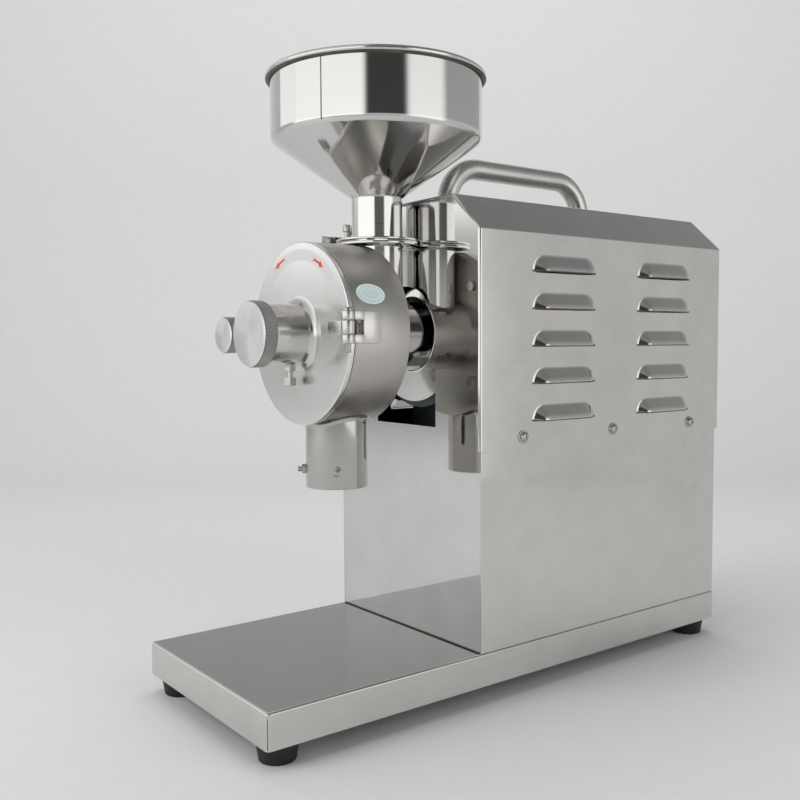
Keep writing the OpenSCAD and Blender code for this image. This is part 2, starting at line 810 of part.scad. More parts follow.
// A flange round the feed tube, cut straight beside the front plate, with a tongue towards -X
module flange_outline(reach) {
    intersection() {
        union() {
            circle(flange_r);
            translate([-reach, -tongue_w / 2]) square([reach, tongue_w]);
        }
        translate([-reach - eps, -flange_r - eps])
            square([reach + flange_r + 2 * eps, flange_r + eps + hopper_axis - flange_gap]);
    }
}

// The hopper's sheet, in radius and height
module hopper_outline() {
    lift = hopper_wall * tan((90 - cone_angle) / 2);
    in_feed = feed_r - hopper_wall;
    in_wall = hopper_r - hopper_wall;
    outer = concat([[feed_r, hopper_flange_top - hopper_wall]],
        corner_arc([feed_r, hopper_flange_top], [feed_r, cone_foot_z], [hopper_r, cone_top_z], 2, 4),
        corner_arc([feed_r, cone_foot_z], [hopper_r, cone_top_z], [hopper_r, hopper_top_z], cone_bend_r),
        [[hopper_r, hopper_top_z - rim_d / 2]]);
    inner = concat([[in_feed, hopper_flange_top - hopper_wall]],
        corner_arc([in_feed, hopper_flange_top], [in_feed, cone_foot_z + lift], [in_wall, cone_top_z + lift],
            2 + hopper_wall, 4),
        corner_arc([in_feed, cone_foot_z + lift], [in_wall, cone_top_z + lift], [in_wall, hopper_top_z],
            cone_bend_r - hopper_wall),
        [[in_wall, hopper_top_z - rim_d / 2]]);
    polygon(concat(outer, [for (i = [len(inner) - 1:-1:0]) inner[i]]));
    translate([hopper_r + rim_d / 2 - hopper_wall, hopper_top_z - rim_d / 2]) circle(rim_d / 2);
}

module hopper() {
    slot_top = gate_seat_z + gate_slot_h;
    color("gainsboro") {
        difference() {
            union() {
                at_feed(0) rotate_extrude() hopper_outline();
                at_feed(gate_seat_z) linear_extrude(hopper_flange_t) flange_outline(tongue_reach);
            }
            at_feed(gate_seat_z - eps)
                cylinder(r = feed_r - hopper_wall, h = hopper_flange_t + 2 * eps);
            at_feed(gate_seat_z - eps) {
                translate([-tongue_reach - eps, -gate_slot_w / 2, 0])
                    cube([tongue_reach + gate_end_x + 0.5 + eps, gate_slot_w, gate_slot_h + eps]);
                translate([-tongue_reach - eps, -flange_r, 0])
                    cube([tongue_reach - flange_r + eps, 2 * flange_r, gate_slot_h + eps]);
            }
            at_feed(slot_top - eps) translate([-gate_screw_x, 0, 0])
                cylinder(d = gate_screw_d + 2 * run, h = hopper_flange_t + 2 * eps);
        }
    }
}

module feed_chute() {
    color("gainsboro") difference() {
        union() {
            at_feed(shaft_h) cylinder(r = feed_r, h = chute_flange_z - shaft_h + eps);
            at_feed(chute_flange_z) linear_extrude(chute_flange_t) flange_outline(tongue_reach);
        }
        at_feed(shaft_h - eps) cylinder(r = feed_r - feed_wall, h = gate_seat_z - shaft_h + 2 * eps);
        on_shaft() rod(neck_r + fit, -2 * hopper_axis, 2 * feed_r);
    }
}

module feed_gate() {
    color(steel) at_feed(gate_seat_z + gate_play) {
        translate([-flange_r, -gate_w / 2, 0]) cube([flange_r + gate_end_x, gate_w, gate_t]);
        translate([-gate_tab_x, -gate_tongue_w / 2, 0]) cube([gate_tab_x, gate_tongue_w, gate_t]);
        translate([-gate_tab_x, -gate_tongue_w / 2, 0]) cube([gate_t, gate_tongue_w, gate_t + gate_tab_h]);
    }
}

module gate_lock_screw() {
    tip = gate_play + gate_t + face_gap;
    head = hopper_flange_t + gate_screw_neck;
    color("whitesmoke") at_feed(gate_seat_z) translate([-gate_screw_x, 0, 0]) {
        rod(gate_screw_d / 2, tip, head + eps);
        rod(gate_screw_head_d / 2, head, head + gate_screw_head_h - 1);
        translate([0, 0, head + gate_screw_head_h - 1])
            cylinder(d1 = gate_screw_head_d, d2 = gate_screw_head_d - 2, h = 1);
    }
}

module drum_bolt_places() {
    for (a = drum_bolt_angles) rotate([0, 0, a]) translate([drum_bolt_r, 0, 0]) children();
}

module grinding_drum() {
    seal_mid = drum_r - drum_wall / 2;
    color("tan") difference() {
        on_shaft() difference() {
            rod(drum_r, drum_front_y, drum_back_y);
            rod(drum_in_r, drum_front_y - eps, chamber_back_y);
            rod(neck_in_r, chamber_back_y - eps, drum_back_y + eps);
            tube(seal_mid + seal_w / 2 + fit, seal_mid - seal_w / 2 - fit, drum_front_y - eps,
                drum_front_y + seal_t - face_gap + fit);
            translate([0, 0, chamber_back_y - eps]) drum_bolt_places()
                cylinder(d = drum_bolt_d + 2 * fit, h = drum_back_t + 2 * eps);
        }
        at_spout(shaft_h - drum_r - eps) cylinder(r = spout_r - spout_wall, h = drum_r);
    }
}

module rim_seal() {
    seal_mid = drum_r - drum_wall / 2;
    color("dimgray") on_shaft() tube(seal_mid + seal_w / 2, seal_mid - seal_w / 2, drum_front_y - face_gap,
        drum_front_y + seal_t - face_gap);
}

module chamber_liner() {
    color(dark_steel) on_shaft() difference() {
        tube(liner_r, neck_in_r, liner_y, chamber_back_y);
        translate([0, 0, liner_y - eps]) drum_bolt_places()
            cylinder(d = drum_bolt_d + 2 * fit, h = liner_t + 2 * eps);
    }
}

module drum_bolts() {
    head_h = drum_bolt_d * 0.65;
    color(steel) on_shaft() drum_bolt_places() {
        rod(drum_bolt_d / 2, liner_y, drum_back_y + eps);
        translate([0, 0, drum_back_y]) hex(drum_bolt_d * 1.65, head_h);
    }
}

module neck_bolt_places() for (a = [45:90:315]) rotate([0, 0, a]) translate([neck_bolt_at, 0, 0]) children();

module drive_neck() {
    color("gainsboro") difference() {
        on_shaft() difference() {
            union() {
                rod(neck_r, drum_back_y, motor_face + eps);
                rod(neck_flange_r, motor_face, neck_rear_y);
            }
            rod(neck_in_r, drum_back_y - eps, seal_y);
            rod(seal_r, seal_y - eps, motor_face);
            rod(shaft_r + pass_gap, seal_y, neck_rear_y + eps);
            translate([0, 0, motor_face - eps]) neck_bolt_places()
                cylinder(r = neck_bolt_r + fit, h = neck_flange_t + 2 * eps);
        }
        at_feed(shaft_h) cylinder(r = feed_r - feed_wall, h = neck_r + eps);
    }
}

module shaft_seal() {
    color("dimgray") on_shaft() tube(seal_r - fit, shaft_r + run, seal_y + fit, motor_face);
}

module neck_bolts() {
    head_h = neck_bolt_r * 1.3;
    color(steel) on_shaft() neck_bolt_places() {
        rod(neck_bolt_r, motor_face - eps, shell_y - face_gap);
        translate([0, 0, motor_face - head_h]) hex(neck_bolt_r * 3.2, head_h);
    }
}

module at_spout(z) at_plate() translate([spout_offset, spout_y, z]) children();

module spout_screw_places() {
    at_spout(spout_screw_h) for (a = spout_screw_angles) rotate([0, 0, a]) translate([spout_r, 0, 0])
        rotate([0, 90, 0]) children();
}

module discharge_spout() {
    color("gainsboro") difference() {
        at_spout(spout_end_h) tube(spout_r, spout_r - spout_wall, 0, shaft_h - spout_end_h);
        on_shaft() rod(drum_r + fit, drum_front_y - drum_d, drum_back_y + drum_d);
        spout_screw_places() translate([0, 0, -2 * spout_wall])
            cylinder(d = spout_screw_d + 2 * fit, h = 4 * spout_wall);
    }
}

module spout_screws() {
    flat = spout_screw_d * 1.6;
    nut_h = spout_screw_d * 0.8;
    head_h = 1.6;
    inner = -spout_r + sqrt(pow(spout_r - spout_wall, 2) - flat * flat / 3) - head_h;
    color(steel) spout_screw_places() {
        rod(spout_screw_d / 2, inner, nut_h + 4);
        rod(flat / 2, inner, inner + head_h - fit);
        translate([0, 0, fit]) difference() {
            hex(flat, nut_h);
            translate([0, 0, -eps]) cylinder(d = spout_screw_d - 0.2, h = nut_h + 2 * eps);
        }
    }
}

// Hinge pieces stand upright on the hinge axis, at the shaft's height
module at_hinge(z) at_plate() translate([hinge_x, hinge_y, shaft_h + z]) children();

module hinge_bracket() {
    arm_len = bracket_front_y - hinge_y;
    color(steel) difference() {
        union() {
            at_plate() translate([drum_r / 2, bracket_front_y, shaft_h + bracket_low])
                cube([hinge_x + knuckle_d / 2 - drum_r / 2, bracket_len, bracket_high - bracket_low]);
            for (z = [bracket_low, leaf_high + face_gap]) {
                at_hinge(z) cylinder(d = knuckle_d, h = drum_knuckle_h);
                at_hinge(z) translate([arm_x0 - hinge_x, 0, 0])
                    cube([knuckle_d / 2 + hinge_x - arm_x0, arm_len + eps, drum_knuckle_h]);
            }
        }
        on_shaft() rod(drum_r + fit, drum_front_y - drum_d, drum_back_y + drum_d);
        at_hinge(0) rod(hinge_pin_d / 2 + fit, bracket_low - eps, bracket_high + eps);
    }
}

module hinge_pin() {
    color(steel) {
        at_hinge(0) rod(hinge_pin_d / 2, bracket_low - hinge_tail, bracket_high + eps);
        at_hinge(bracket_high) cylinder(d1 = hinge_pin_d * 2, d2 = hinge_pin_d * 1.5, h = hinge_head_h);
    }
}

module lid_hinge_leaf() {
    leaf_x0 = drum_r - 20;
    color(steel) difference() {
        union() {
            at_hinge(leaf_low) cylinder(d = knuckle_d, h = knuckle_h);
            at_hinge(leaf_low) translate([leaf_x0 - hinge_x, -knuckle_d / 2 + 1, 0])
                cube([hinge_x - leaf_x0, hinge_lead + knuckle_d / 2 - 1, knuckle_h]);
        }
        at_hinge(leaf_low - eps) cylinder(d = hinge_pin_d + 2 * run, h = knuckle_h + 2 * eps);
        at_hinge(leaf_low - eps) translate([drum_r + fit - hinge_x, knuckle_d / 2, 0])
            cube([knuckle_d, hinge_lead + knuckle_d, knuckle_h + 2 * eps]);
    }
}

module clamp_boss() {
    web = boss_r * 1.5;
    color(steel) on_shaft() difference() {
        union() {
            translate([clamp_x, 0, 0]) rod(boss_r, drum_front_y, drum_front_y + boss_len);
            translate([clamp_x, -web / 2, drum_front_y]) cube([clamp_out + drum_r / 2, web, boss_len]);
        }
        rod(drum_r + fit, drum_front_y - eps, drum_front_y + boss_len + eps);
        translate([clamp_x, 0, 0])
            rod(clamp_screw_r + clamp_slack, drum_front_y - eps, drum_front_y + boss_len * 0.75);
    }
}

// The lid and its sleeve, in radius and distance along the shaft
module lid_outline() {
    bore = spindle_r + run;
    difference() {
        union() {
            translate([bore, lid_face_y + lid_edge_r]) square([drum_r - bore, lid_t - lid_edge_r]);
            translate([bore, lid_face_y]) square([drum_r - lid_edge_r - bore, lid_t]);
            translate([drum_r - lid_edge_r, lid_face_y + lid_edge_r]) circle(lid_edge_r);
            translate([bore, sleeve_front_y]) square([sleeve_r - bore, sleeve_len + eps]);
            translate([sleeve_r - eps, lid_face_y - sleeve_fillet]) square(sleeve_fillet + eps);
        }
        translate([sleeve_r + sleeve_fillet, lid_face_y - sleeve_fillet]) circle(sleeve_fillet);
        translate([0, sleeve_front_y - eps])
            square([sleeve_bore_r, knob_shank_y + face_gap - sleeve_front_y + eps]);
    }
}

module chamber_lid() {
    color("lightgray") on_shaft() difference() {
        union() {
            rotate_extrude() lid_outline();
            translate([0, 0, lid_face_y]) difference() {
                linear_extrude(lid_t) {
                    translate([clamp_x, 0]) circle(lug_w / 2);
                    translate([clamp_x, -lug_w / 2]) square([clamp_out + lug_w, lug_w]);
                }
                translate([0, 0, -eps]) cylinder(r = drum_r - 2, h = lid_t + 2 * eps);
            }
        }
        translate([clamp_x, 0, 0]) rod(clamp_screw_r + face_gap, lid_face_y - eps, lid_back_y + eps);
        rotate([90, 0, 0]) translate([0, hub_lock_y, -sleeve_r - sleeve_fillet])
            cylinder(d = hub_lock_d + 2 * run, h = sleeve_r + sleeve_fillet);
        for (x = [-1, 1]) translate([x * guide_pin_at, 0, 0])
            rod(guide_pin_r + fit, lid_back_y - lid_t / 2, lid_back_y + eps);
    }
}

module guide_pins() {
    color(steel) on_shaft() for (x = [-1, 1]) translate([x * guide_pin_at, 0, 0])
        rod(guide_pin_r, lid_back_y - lid_t / 2, guide_pin_end_y);
}

// Pieces on the hub lock's axis: the child's Z points away from the shaft, downwards
module at_hub_lock() at_plate() translate([0, hub_lock_y, shaft_h]) rotate([180, 0, 0]) children();

module hub_lock_screw() {
    flat = hub_lock_d * 1.85;
    color(steel) at_hub_lock() {
        rod(hub_lock_d / 2, spindle_r + face_gap, hub_head_top + eps);
        translate([0, 0, hub_head_top]) intersection() {
            hex(flat, hub_head_h);
            cylinder(r1 = flat, r2 = flat * 0.5, h = hub_head_h);
        }
    }
}

module hub_lock_nut() {
    color(dark_steel) at_hub_lock() translate([0, 0, hub_nut_top]) difference() {
        hex(hub_lock_d * 1.7, hub_nut_h);
        translate([0, 0, -eps]) cylinder(d = hub_lock_d + 2 * run, h = hub_nut_h + 2 * eps);
    }
}

module adjusting_knob() {
    rim = 1.2;
    color("lightgray") on_shaft() difference() {
        union() {
            translate([0, 0, knob_face_y]) cylinder(r1 = knob_d / 2 - rim, r2 = knob_d / 2, h = rim);
            rod(knob_d / 2, knob_face_y + rim, knob_back_y - rim);
            translate([0, 0, knob_back_y - rim]) cylinder(r1 = knob_d / 2, r2 = knob_d / 2 - rim, h = rim);
            rod(sleeve_bore_r - run, knob_back_y - eps, knob_shank_y);
        }
        rod(spindle_r + run, knob_face_y + knob_web, knob_shank_y + eps);
    }
}

module burr_carrier() {
    color(dark_steel) on_shaft() difference() {
        union() {
            rod(burr_r - 4, carrier_front_y, carrier_back_y);
            rod(spindle_r, spindle_end_y, carrier_front_y + eps);
            rod(fixed_spigot_r, carrier_back_y - eps, carrier_back_y + fixed_spigot_h);
        }
        for (x = [-1, 1]) translate([x * guide_pin_at, 0, 0])
            rod(guide_pin_r + run, carrier_front_y - eps, carrier_back_y + eps);
        burr_screw_places() rod(burr_screw_r + fit, carrier_back_y - 8, carrier_back_y + eps);
    }
}

module burr_screw_places() {
    for (a = [90:120:330]) rotate([0, 0, a]) translate([burr_screw_at, 0, 0]) children();
}

// Radial grooves, cut into a burr's face from both sides of it
module grooves(face_y) {
    for (i = [0:burr_grooves - 1]) rotate([0, 0, (i + 0.5) * 360 / burr_grooves])
        translate([eye_r - eps, -groove_w / 2, face_y - groove_depth])
            cube([burr_r - eye_r + 2 * eps, groove_w, 2 * groove_depth]);
}

module fixed_burr() {
    color(dark_steel) on_shaft() difference() {
        rod(burr_r, carrier_back_y, fixed_face_y);
        rod(fixed_spigot_r + fit, carrier_back_y - eps, fixed_face_y + eps);
        grooves(fixed_face_y);
        burr_screw_places() {
            rod(burr_screw_r + fit, carrier_back_y - eps, fixed_face_y + eps);
            rod(2 * burr_screw_r + fit, fixed_face_y - groove_depth - 2, fixed_face_y + eps);
        }
    }
}

module burr_screws() {
    color(steel) on_shaft() burr_screw_places() {
        head = fixed_face_y - groove_depth - 2;
        rod(burr_screw_r, carrier_back_y - 7, head + fit);
        rod(2 * burr_screw_r, head, fixed_face_y - groove_depth);
    }
}

module at_clamp() on_shaft() translate([clamp_x, 0, 0]) children();

module clamp_collar() {
    color(steel) at_clamp() tube(clamp_shank_r, clamp_screw_r + run, clamp_shank_y + run, collar_y);
}

module clamp_knob() {
    rim = 1;
    r = clamp_knob_d / 2;
    color("lightgray") at_clamp() {
        translate([0, 0, clamp_face_y]) cylinder(r1 = r - rim, r2 = r, h = rim);
        rod(r, clamp_face_y + rim, clamp_head_y - rim);
        translate([0, 0, clamp_head_y - rim]) cylinder(r1 = r, r2 = r - rim, h = rim);
        rod(clamp_shank_r, clamp_head_y - eps, clamp_shank_y);
        rod(clamp_screw_r, clamp_shank_y - eps, clamp_tip_y);
    }
}

module drive_shaft() {
    color(dark_steel) on_shaft() {
        rod(thread_r, shaft_end_y, disc_front_y + eps);
        rod(shaft_r, disc_front_y, front_bearing_y - face_gap);
        rod(journal_r, front_bearing_y - eps, front_bearing_y + bearing_w + eps);
        rod(rotor_bore_r, front_bearing_y + bearing_w + face_gap, rear_bearing_y - face_gap);
        rod(journal_r, rear_bearing_y - eps, rear_bearing_y + bearing_w);
        rod(fan_bore_r, rear_bearing_y + bearing_w - eps, shaft_rear_y);
    }
}

module shaft_nut() {
    color(steel) on_shaft() translate([0, 0, disc_front_y - nut_t]) difference() {
        hex(thread_r * 3.2, nut_t);
        translate([0, 0, -eps]) cylinder(r = thread_r + fit, h = nut_t + 2 * eps);
    }
}

hub_back_y = chamber_back_y;
hub_r = shaft_r + 6;

module feed_screw() {
    blade = neck_in_r - pass_gap;
    length = seal_y - pass_gap - hub_back_y;
    color(dark_steel) on_shaft() {
        tube(hub_r, shaft_r + fit, hub_back_y, seal_y - pass_gap);
        translate([0, 0, hub_back_y]) linear_extrude(length, twist = 500, slices = 40, $fn = 8)
            translate([hub_r - eps, -2]) square([blade - hub_r + eps, 4]);
    }
}

module burr_disc() {
    window_r = (eye_r - hub_r) / 2 - 0.6;
    color(dark_steel) on_shaft() difference() {
        union() {
            rod(burr_r, disc_front_y, disc_back_y);
            rod(hub_r, disc_front_y, hub_back_y);
            for (i = [0:5]) rotate([0, 0, 60 * i + 30]) translate([eye_r, -2, disc_back_y - eps])
                cube([burr_r + 4 - eye_r, 4, vane_h + eps]);
        }
        rod(shaft_r + fit, disc_front_y - eps, hub_back_y + eps);
        for (i = [0:5]) rotate([0, 0, 60 * i]) translate([(eye_r + hub_r) / 2, 0, 0])
            rod(window_r, disc_front_y - eps, disc_back_y + eps);
    }
}

module turning_burr() {
    color(dark_steel) on_shaft() difference() {
        tube(burr_r, eye_r, turning_face_y, disc_front_y);
        grooves(turning_face_y);
    }
}

module rotor_core() {
    color(dark_steel) on_shaft() tube(rotor_d / 2, rotor_bore_r + fit, stator_y, stator_y + stator_len);
}

module cooling_fan() {
    blades = 7;
    fan_hub_r = fan_bore_r + 7;
    color("whitesmoke") on_shaft() {
        tube(fan_hub_r, fan_bore_r + fit, fan_y, fan_y + fan_len);
        for (i = [0:blades - 1]) rotate([0, 0, i * 360 / blades]) translate([fan_hub_r - eps, -1, fan_y])
            cube([fan_d / 2 - fan_hub_r + eps, 2, fan_len]);
    }
}

module motor_bearings() {
    color(steel) on_shaft() for (y = [front_bearing_y, rear_bearing_y])
        tube(bearing_r - fit, journal_r + run, y, y + bearing_w);
}

module front_end_shield() {
    color("gainsboro") on_shaft() difference() {
        union() {
            rod(motor_r, neck_rear_y, shell_y);
            rod(bearing_r + 8, shell_y - eps, front_bearing_y + bearing_w);
        }
        rod(shaft_r + pass_gap, neck_rear_y - eps, front_bearing_y + eps);
        rod(bearing_r, front_bearing_y, front_bearing_y + bearing_w + eps);
        translate([0, 0, neck_rear_y - eps]) neck_bolt_places()
            cylinder(r = neck_bolt_r + fit, h = shield_t + 2 * eps);
    }
}

module rear_end_shield() {
    color("gainsboro") on_shaft() difference() {
        union() {
            rod(motor_r, shell_end_y, shield_end_y);
            rod(bearing_r + 8, rear_bearing_y, shell_end_y + eps);
        }
        rod(fan_bore_r + pass_gap, rear_bearing_y, shield_end_y + eps);
        rod(bearing_r, rear_bearing_y - eps, rear_bearing_y + bearing_w);
    }
}

module motor_shell() {
    color("slategray") {
        on_shaft() tube(motor_r, motor_r - motor_wall, shell_y, shell_end_y);
    }
}

module stator() {
    in_r = motor_r - motor_wall - fit;
    color("sienna") on_shaft() {
        tube(in_r, rotor_d / 2 + 0.6, stator_y, stator_y + stator_len);
        tube(in_r - 3, rotor_d / 2 + 3, stator_y - winding_len, stator_y + eps);
        tube(in_r - 3, rotor_d / 2 + 3, stator_y + stator_len - eps, stator_y + stator_len + winding_len);
    }
}

module motor_stand() {
    rib = 6;
    w = motor_r * 1.5;
    top = shaft_h - motor_r * 0.72;
    places = [shell_y + stand_inset, shell_end_y - stand_inset - rib];
    color(dark_steel) at_plate() difference() {
        union() {
            translate([-w / 2, places[0], 0]) cube([w, places[1] + rib - places[0], rib]);
            for (y = places) translate([-w / 2, y, 0]) cube([w, rib, top]);
        }
        translate([0, 0, shaft_h]) rotate([-90, 0, 0]) rod(motor_r + fit, 0, shell_end_y + motor_len);
    }
}

module fan_cowl() {
    color("slategray") on_shaft() {
        tube(motor_r + fit + cowl_sheet, motor_r + fit, cowl_y, cowl_end_y);
        difference() {
            rod(motor_r + fit + cowl_sheet, cowl_end_y - cowl_sheet, cowl_end_y);
            for (a = [0:30:330]) rotate([0, 0, a]) translate([motor_r * 0.62, 0, 0])
                rod(motor_r * 0.12, cowl_end_y - cowl_sheet - eps, cowl_end_y + eps);
        }
    }
}

module terminal_box() {
    color("dimgray") at_plate() difference() {
        translate([switch_x - box_w / 2, box_y - box_len / 2, lead_h - box_h / 2])
            cube([box_w, box_len, box_h]);
        translate([0, 0, shaft_h]) rotate([-90, 0, 0]) rod(motor_r + fit, 0, shell_end_y + motor_len);
    }
}

module capacitors() {
    color("dimgray") at_plate() for (x = [-1, 1]) translate([x * capacitor_x, capacitor_y, 0])
        cylinder(d = capacitor_d, h = capacitor_h);
}

// Quarter bend of a lead: it leaves the origin along +Y and turns to +Z
module lead_bend_up() {
    translate([0, 0, lead_bend]) rotate([90, 0, 90]) rotate([0, 0, -90])
        rotate_extrude(angle = 90) translate([lead_bend, 0]) circle(lead_r);
}

// The lead from the gland to the switch, and the lead from the switch to the motor's terminal box
module inner_leads() {
    from_y = cabinet_len - gland_in;
    box_end_y = box_y + box_len / 2;
    switch_low = switch_h - switch_body_h / 2;
    switch_high = switch_h + switch_body_h / 2;
    color("dimgray") at_plate() translate([switch_x, 0, 0]) {
        translate([0, 0, gland_h]) rotate([-90, 0, 0]) rod(lead_r, lead_y + lead_bend, from_y);
        translate([0, lead_y + lead_bend, gland_h]) mirror([0, 1, 0]) lead_bend_up();
        translate([0, lead_y, 0]) rod(lead_r, gland_h + lead_bend, switch_low);
        translate([0, lead_y, 0]) rod(lead_r, switch_high, lead_h - lead_bend);
        translate([0, lead_y - lead_bend, lead_h]) mirror([0, 0, 1]) lead_bend_up();
        translate([0, 0, lead_h]) rotate([-90, 0, 0]) rod(lead_r, box_end_y, lead_y - lead_bend);
    }
}

// Switch body behind the rear panel and its bezel outside, in one piece
module switch_block() {
    color("black") at_plate() translate([switch_x, 0, switch_h]) difference() {
        union() {
            translate([-switch_w / 2 + fit, switch_front_y, -switch_body_h / 2 + fit])
                cube([switch_w - 2 * fit, bezel_y - switch_front_y - eps, switch_body_h - 2 * fit]);
            slab(cabinet_len, bezel_y) rounded_rect(bezel_w, bezel_h, 4);
        }
        for (z = [-1, 1]) translate([0, rear_inner_y - button_bore, z * button_pitch / 2]) rotate([-90, 0, 0])
            cylinder(r = button_r + run, h = button_bore + rear_panel_t + bezel_t + eps);
    }
}

module cable_gland() {
    nut_flat = 2 * gland_thread_r + 6;
    nut_h = 5;
    tip = 3;
    color("black") at_plate() translate([switch_x, 0, gland_h]) rotate([-90, 0, 0]) difference() {
        union() {
            rod(gland_thread_r, cabinet_len - gland_in, cabinet_len + eps);
            translate([0, 0, rear_inner_y - nut_h]) hex(nut_flat, nut_h);
            translate([0, 0, cabinet_len]) hex(nut_flat, gland_reach * 0.3);
            rod(gland_thread_r + 2, cabinet_len, rear_reach - tip);
            translate([0, 0, rear_reach - tip])
                cylinder(r1 = gland_thread_r + 2, r2 = gland_thread_r, h = tip);
        }
        rod(gland_bore_d / 2, cabinet_len, rear_reach + eps);
    }
}

module push_button(z) {
    at_plate() translate([switch_x, 0, switch_h + z]) rotate([-90, 0, 0]) {
        rod(button_r, rear_inner_y - button_bore + 5, button_face_y - 1);
        translate([0, 0, button_face_y - 1]) cylinder(r1 = button_r, r2 = button_r - 1, h = 1);
    }
}

module start_button() color("green") push_button(button_pitch / 2);
module stop_button() color("red") push_button(-button_pitch / 2);

base_tray();
rubber_feet();
foot_screws();
front_plate();
left_side_panel();
right_side_panel();
top_hood();
rear_panel();
hood_screws();
cabinet_screws();
carry_handle();
handle_bolts();
hopper();
feed_chute();
feed_gate();
gate_lock_screw();
grinding_drum();
chamber_liner();
drum_bolts();
drive_neck();
neck_bolts();
discharge_spout();
spout_screws();
rim_seal();
hinge_bracket();
hinge_pin();
clamp_boss();
chamber_lid();
lid_hinge_leaf();
guide_pins();
hub_lock_screw();
hub_lock_nut();
adjusting_knob();
burr_carrier();
fixed_burr();
burr_screws();
clamp_collar();
clamp_knob();
drive_shaft();
shaft_nut();
feed_screw();
burr_disc();
turning_burr();
rotor_core();
cooling_fan();
shaft_seal();
motor_bearings();
front_end_shield();
motor_shell();
stator();
rear_end_shield();
fan_cowl();
motor_stand();
terminal_box();
capacitors();
inner_leads();
switch_block();
start_button();
stop_button();
cable_gland();
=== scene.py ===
"""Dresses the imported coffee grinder: sheet steel, turned steel, knurls, marks, studio and camera."""

import json
import math

import bmesh
import bpy
from mathutils import Matrix, Vector


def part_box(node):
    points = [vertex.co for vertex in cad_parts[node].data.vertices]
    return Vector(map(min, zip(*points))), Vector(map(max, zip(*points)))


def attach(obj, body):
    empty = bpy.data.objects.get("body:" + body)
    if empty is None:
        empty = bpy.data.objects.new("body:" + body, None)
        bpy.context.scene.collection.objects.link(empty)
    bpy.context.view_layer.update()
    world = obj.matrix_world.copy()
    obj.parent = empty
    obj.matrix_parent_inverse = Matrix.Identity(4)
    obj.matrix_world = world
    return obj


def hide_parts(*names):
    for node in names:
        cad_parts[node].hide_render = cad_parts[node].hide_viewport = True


bl_info = {
    "name": "Coffee grinder",
    "version": (1, 0, 0),
    "blender": (4, 5, 0),
    "location": "3D View > Sidebar > Grinder",
    "description": "Models the visible pieces of a shop coffee grinder on its packed frame",
    "category": "Object",
}

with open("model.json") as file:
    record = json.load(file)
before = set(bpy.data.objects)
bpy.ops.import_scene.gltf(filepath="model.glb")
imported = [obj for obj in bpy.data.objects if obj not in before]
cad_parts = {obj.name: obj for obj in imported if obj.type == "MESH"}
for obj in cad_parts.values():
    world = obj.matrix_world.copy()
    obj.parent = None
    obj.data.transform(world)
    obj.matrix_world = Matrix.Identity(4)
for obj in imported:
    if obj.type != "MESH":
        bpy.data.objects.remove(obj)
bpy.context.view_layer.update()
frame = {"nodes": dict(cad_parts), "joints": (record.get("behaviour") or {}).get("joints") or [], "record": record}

MM = 0.001
# Places closer than this are the same
NEAR = 0.01 * MM
# The two planes that everything is measured from: the front plate's face and the tray's top
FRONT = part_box("front_plate")[0].y
TRAY_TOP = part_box("base_tray")[1].z
JOINTS = {joint["name"]: joint for joint in frame["joints"]}
SHAFT = Vector(JOINTS["mill_spin"]["pos_m"])
HINGE = Vector(JOINTS["door_swing"]["pos_m"])
CLAMP = Vector(JOINTS["clamp_turn"]["pos_m"])
GATE_LOCK = Vector(JOINTS["gate_lock_turn"]["pos_m"])
HUB_LOCK = Vector(JOINTS["hub_lock_turn"]["pos_m"])
FEED = Vector((0, GATE_LOCK.y, TRAY_TOP))
FEED_Y = (FEED.y - FRONT) / MM
AXIS_FOOT = Vector((SHAFT.x, FRONT, SHAFT.z))
CLAMP_FOOT = Vector((CLAMP.x, FRONT, CLAMP.z))
UP = Vector((0, 0, 1))
BACK = Vector((0, 1, 0))
RIGHT = Vector((1, 0, 0))


def linear(text):
    """The linear colour of an sRGB hex value."""
    parts = [int(text[i:i + 2], 16) / 255 for i in (0, 2, 4)]
    return [p / 12.92 if p <= 0.04045 else ((p + 0.055) / 1.055) ** 2.4 for p in parts]


def length(name, description, millimetres):
    """A size in the sidebar, given in millimetres."""
    return bpy.props.FloatProperty(name=name, description=description, default=millimetres * MM, min=0,
        unit="LENGTH", precision=4)


def colour(name, description, text):
    """A colour in the sidebar, given as an sRGB hex value."""
    return bpy.props.FloatVectorProperty(name=name, description=description, default=linear(text), size=3,
        min=0, max=1, subtype="COLOR")


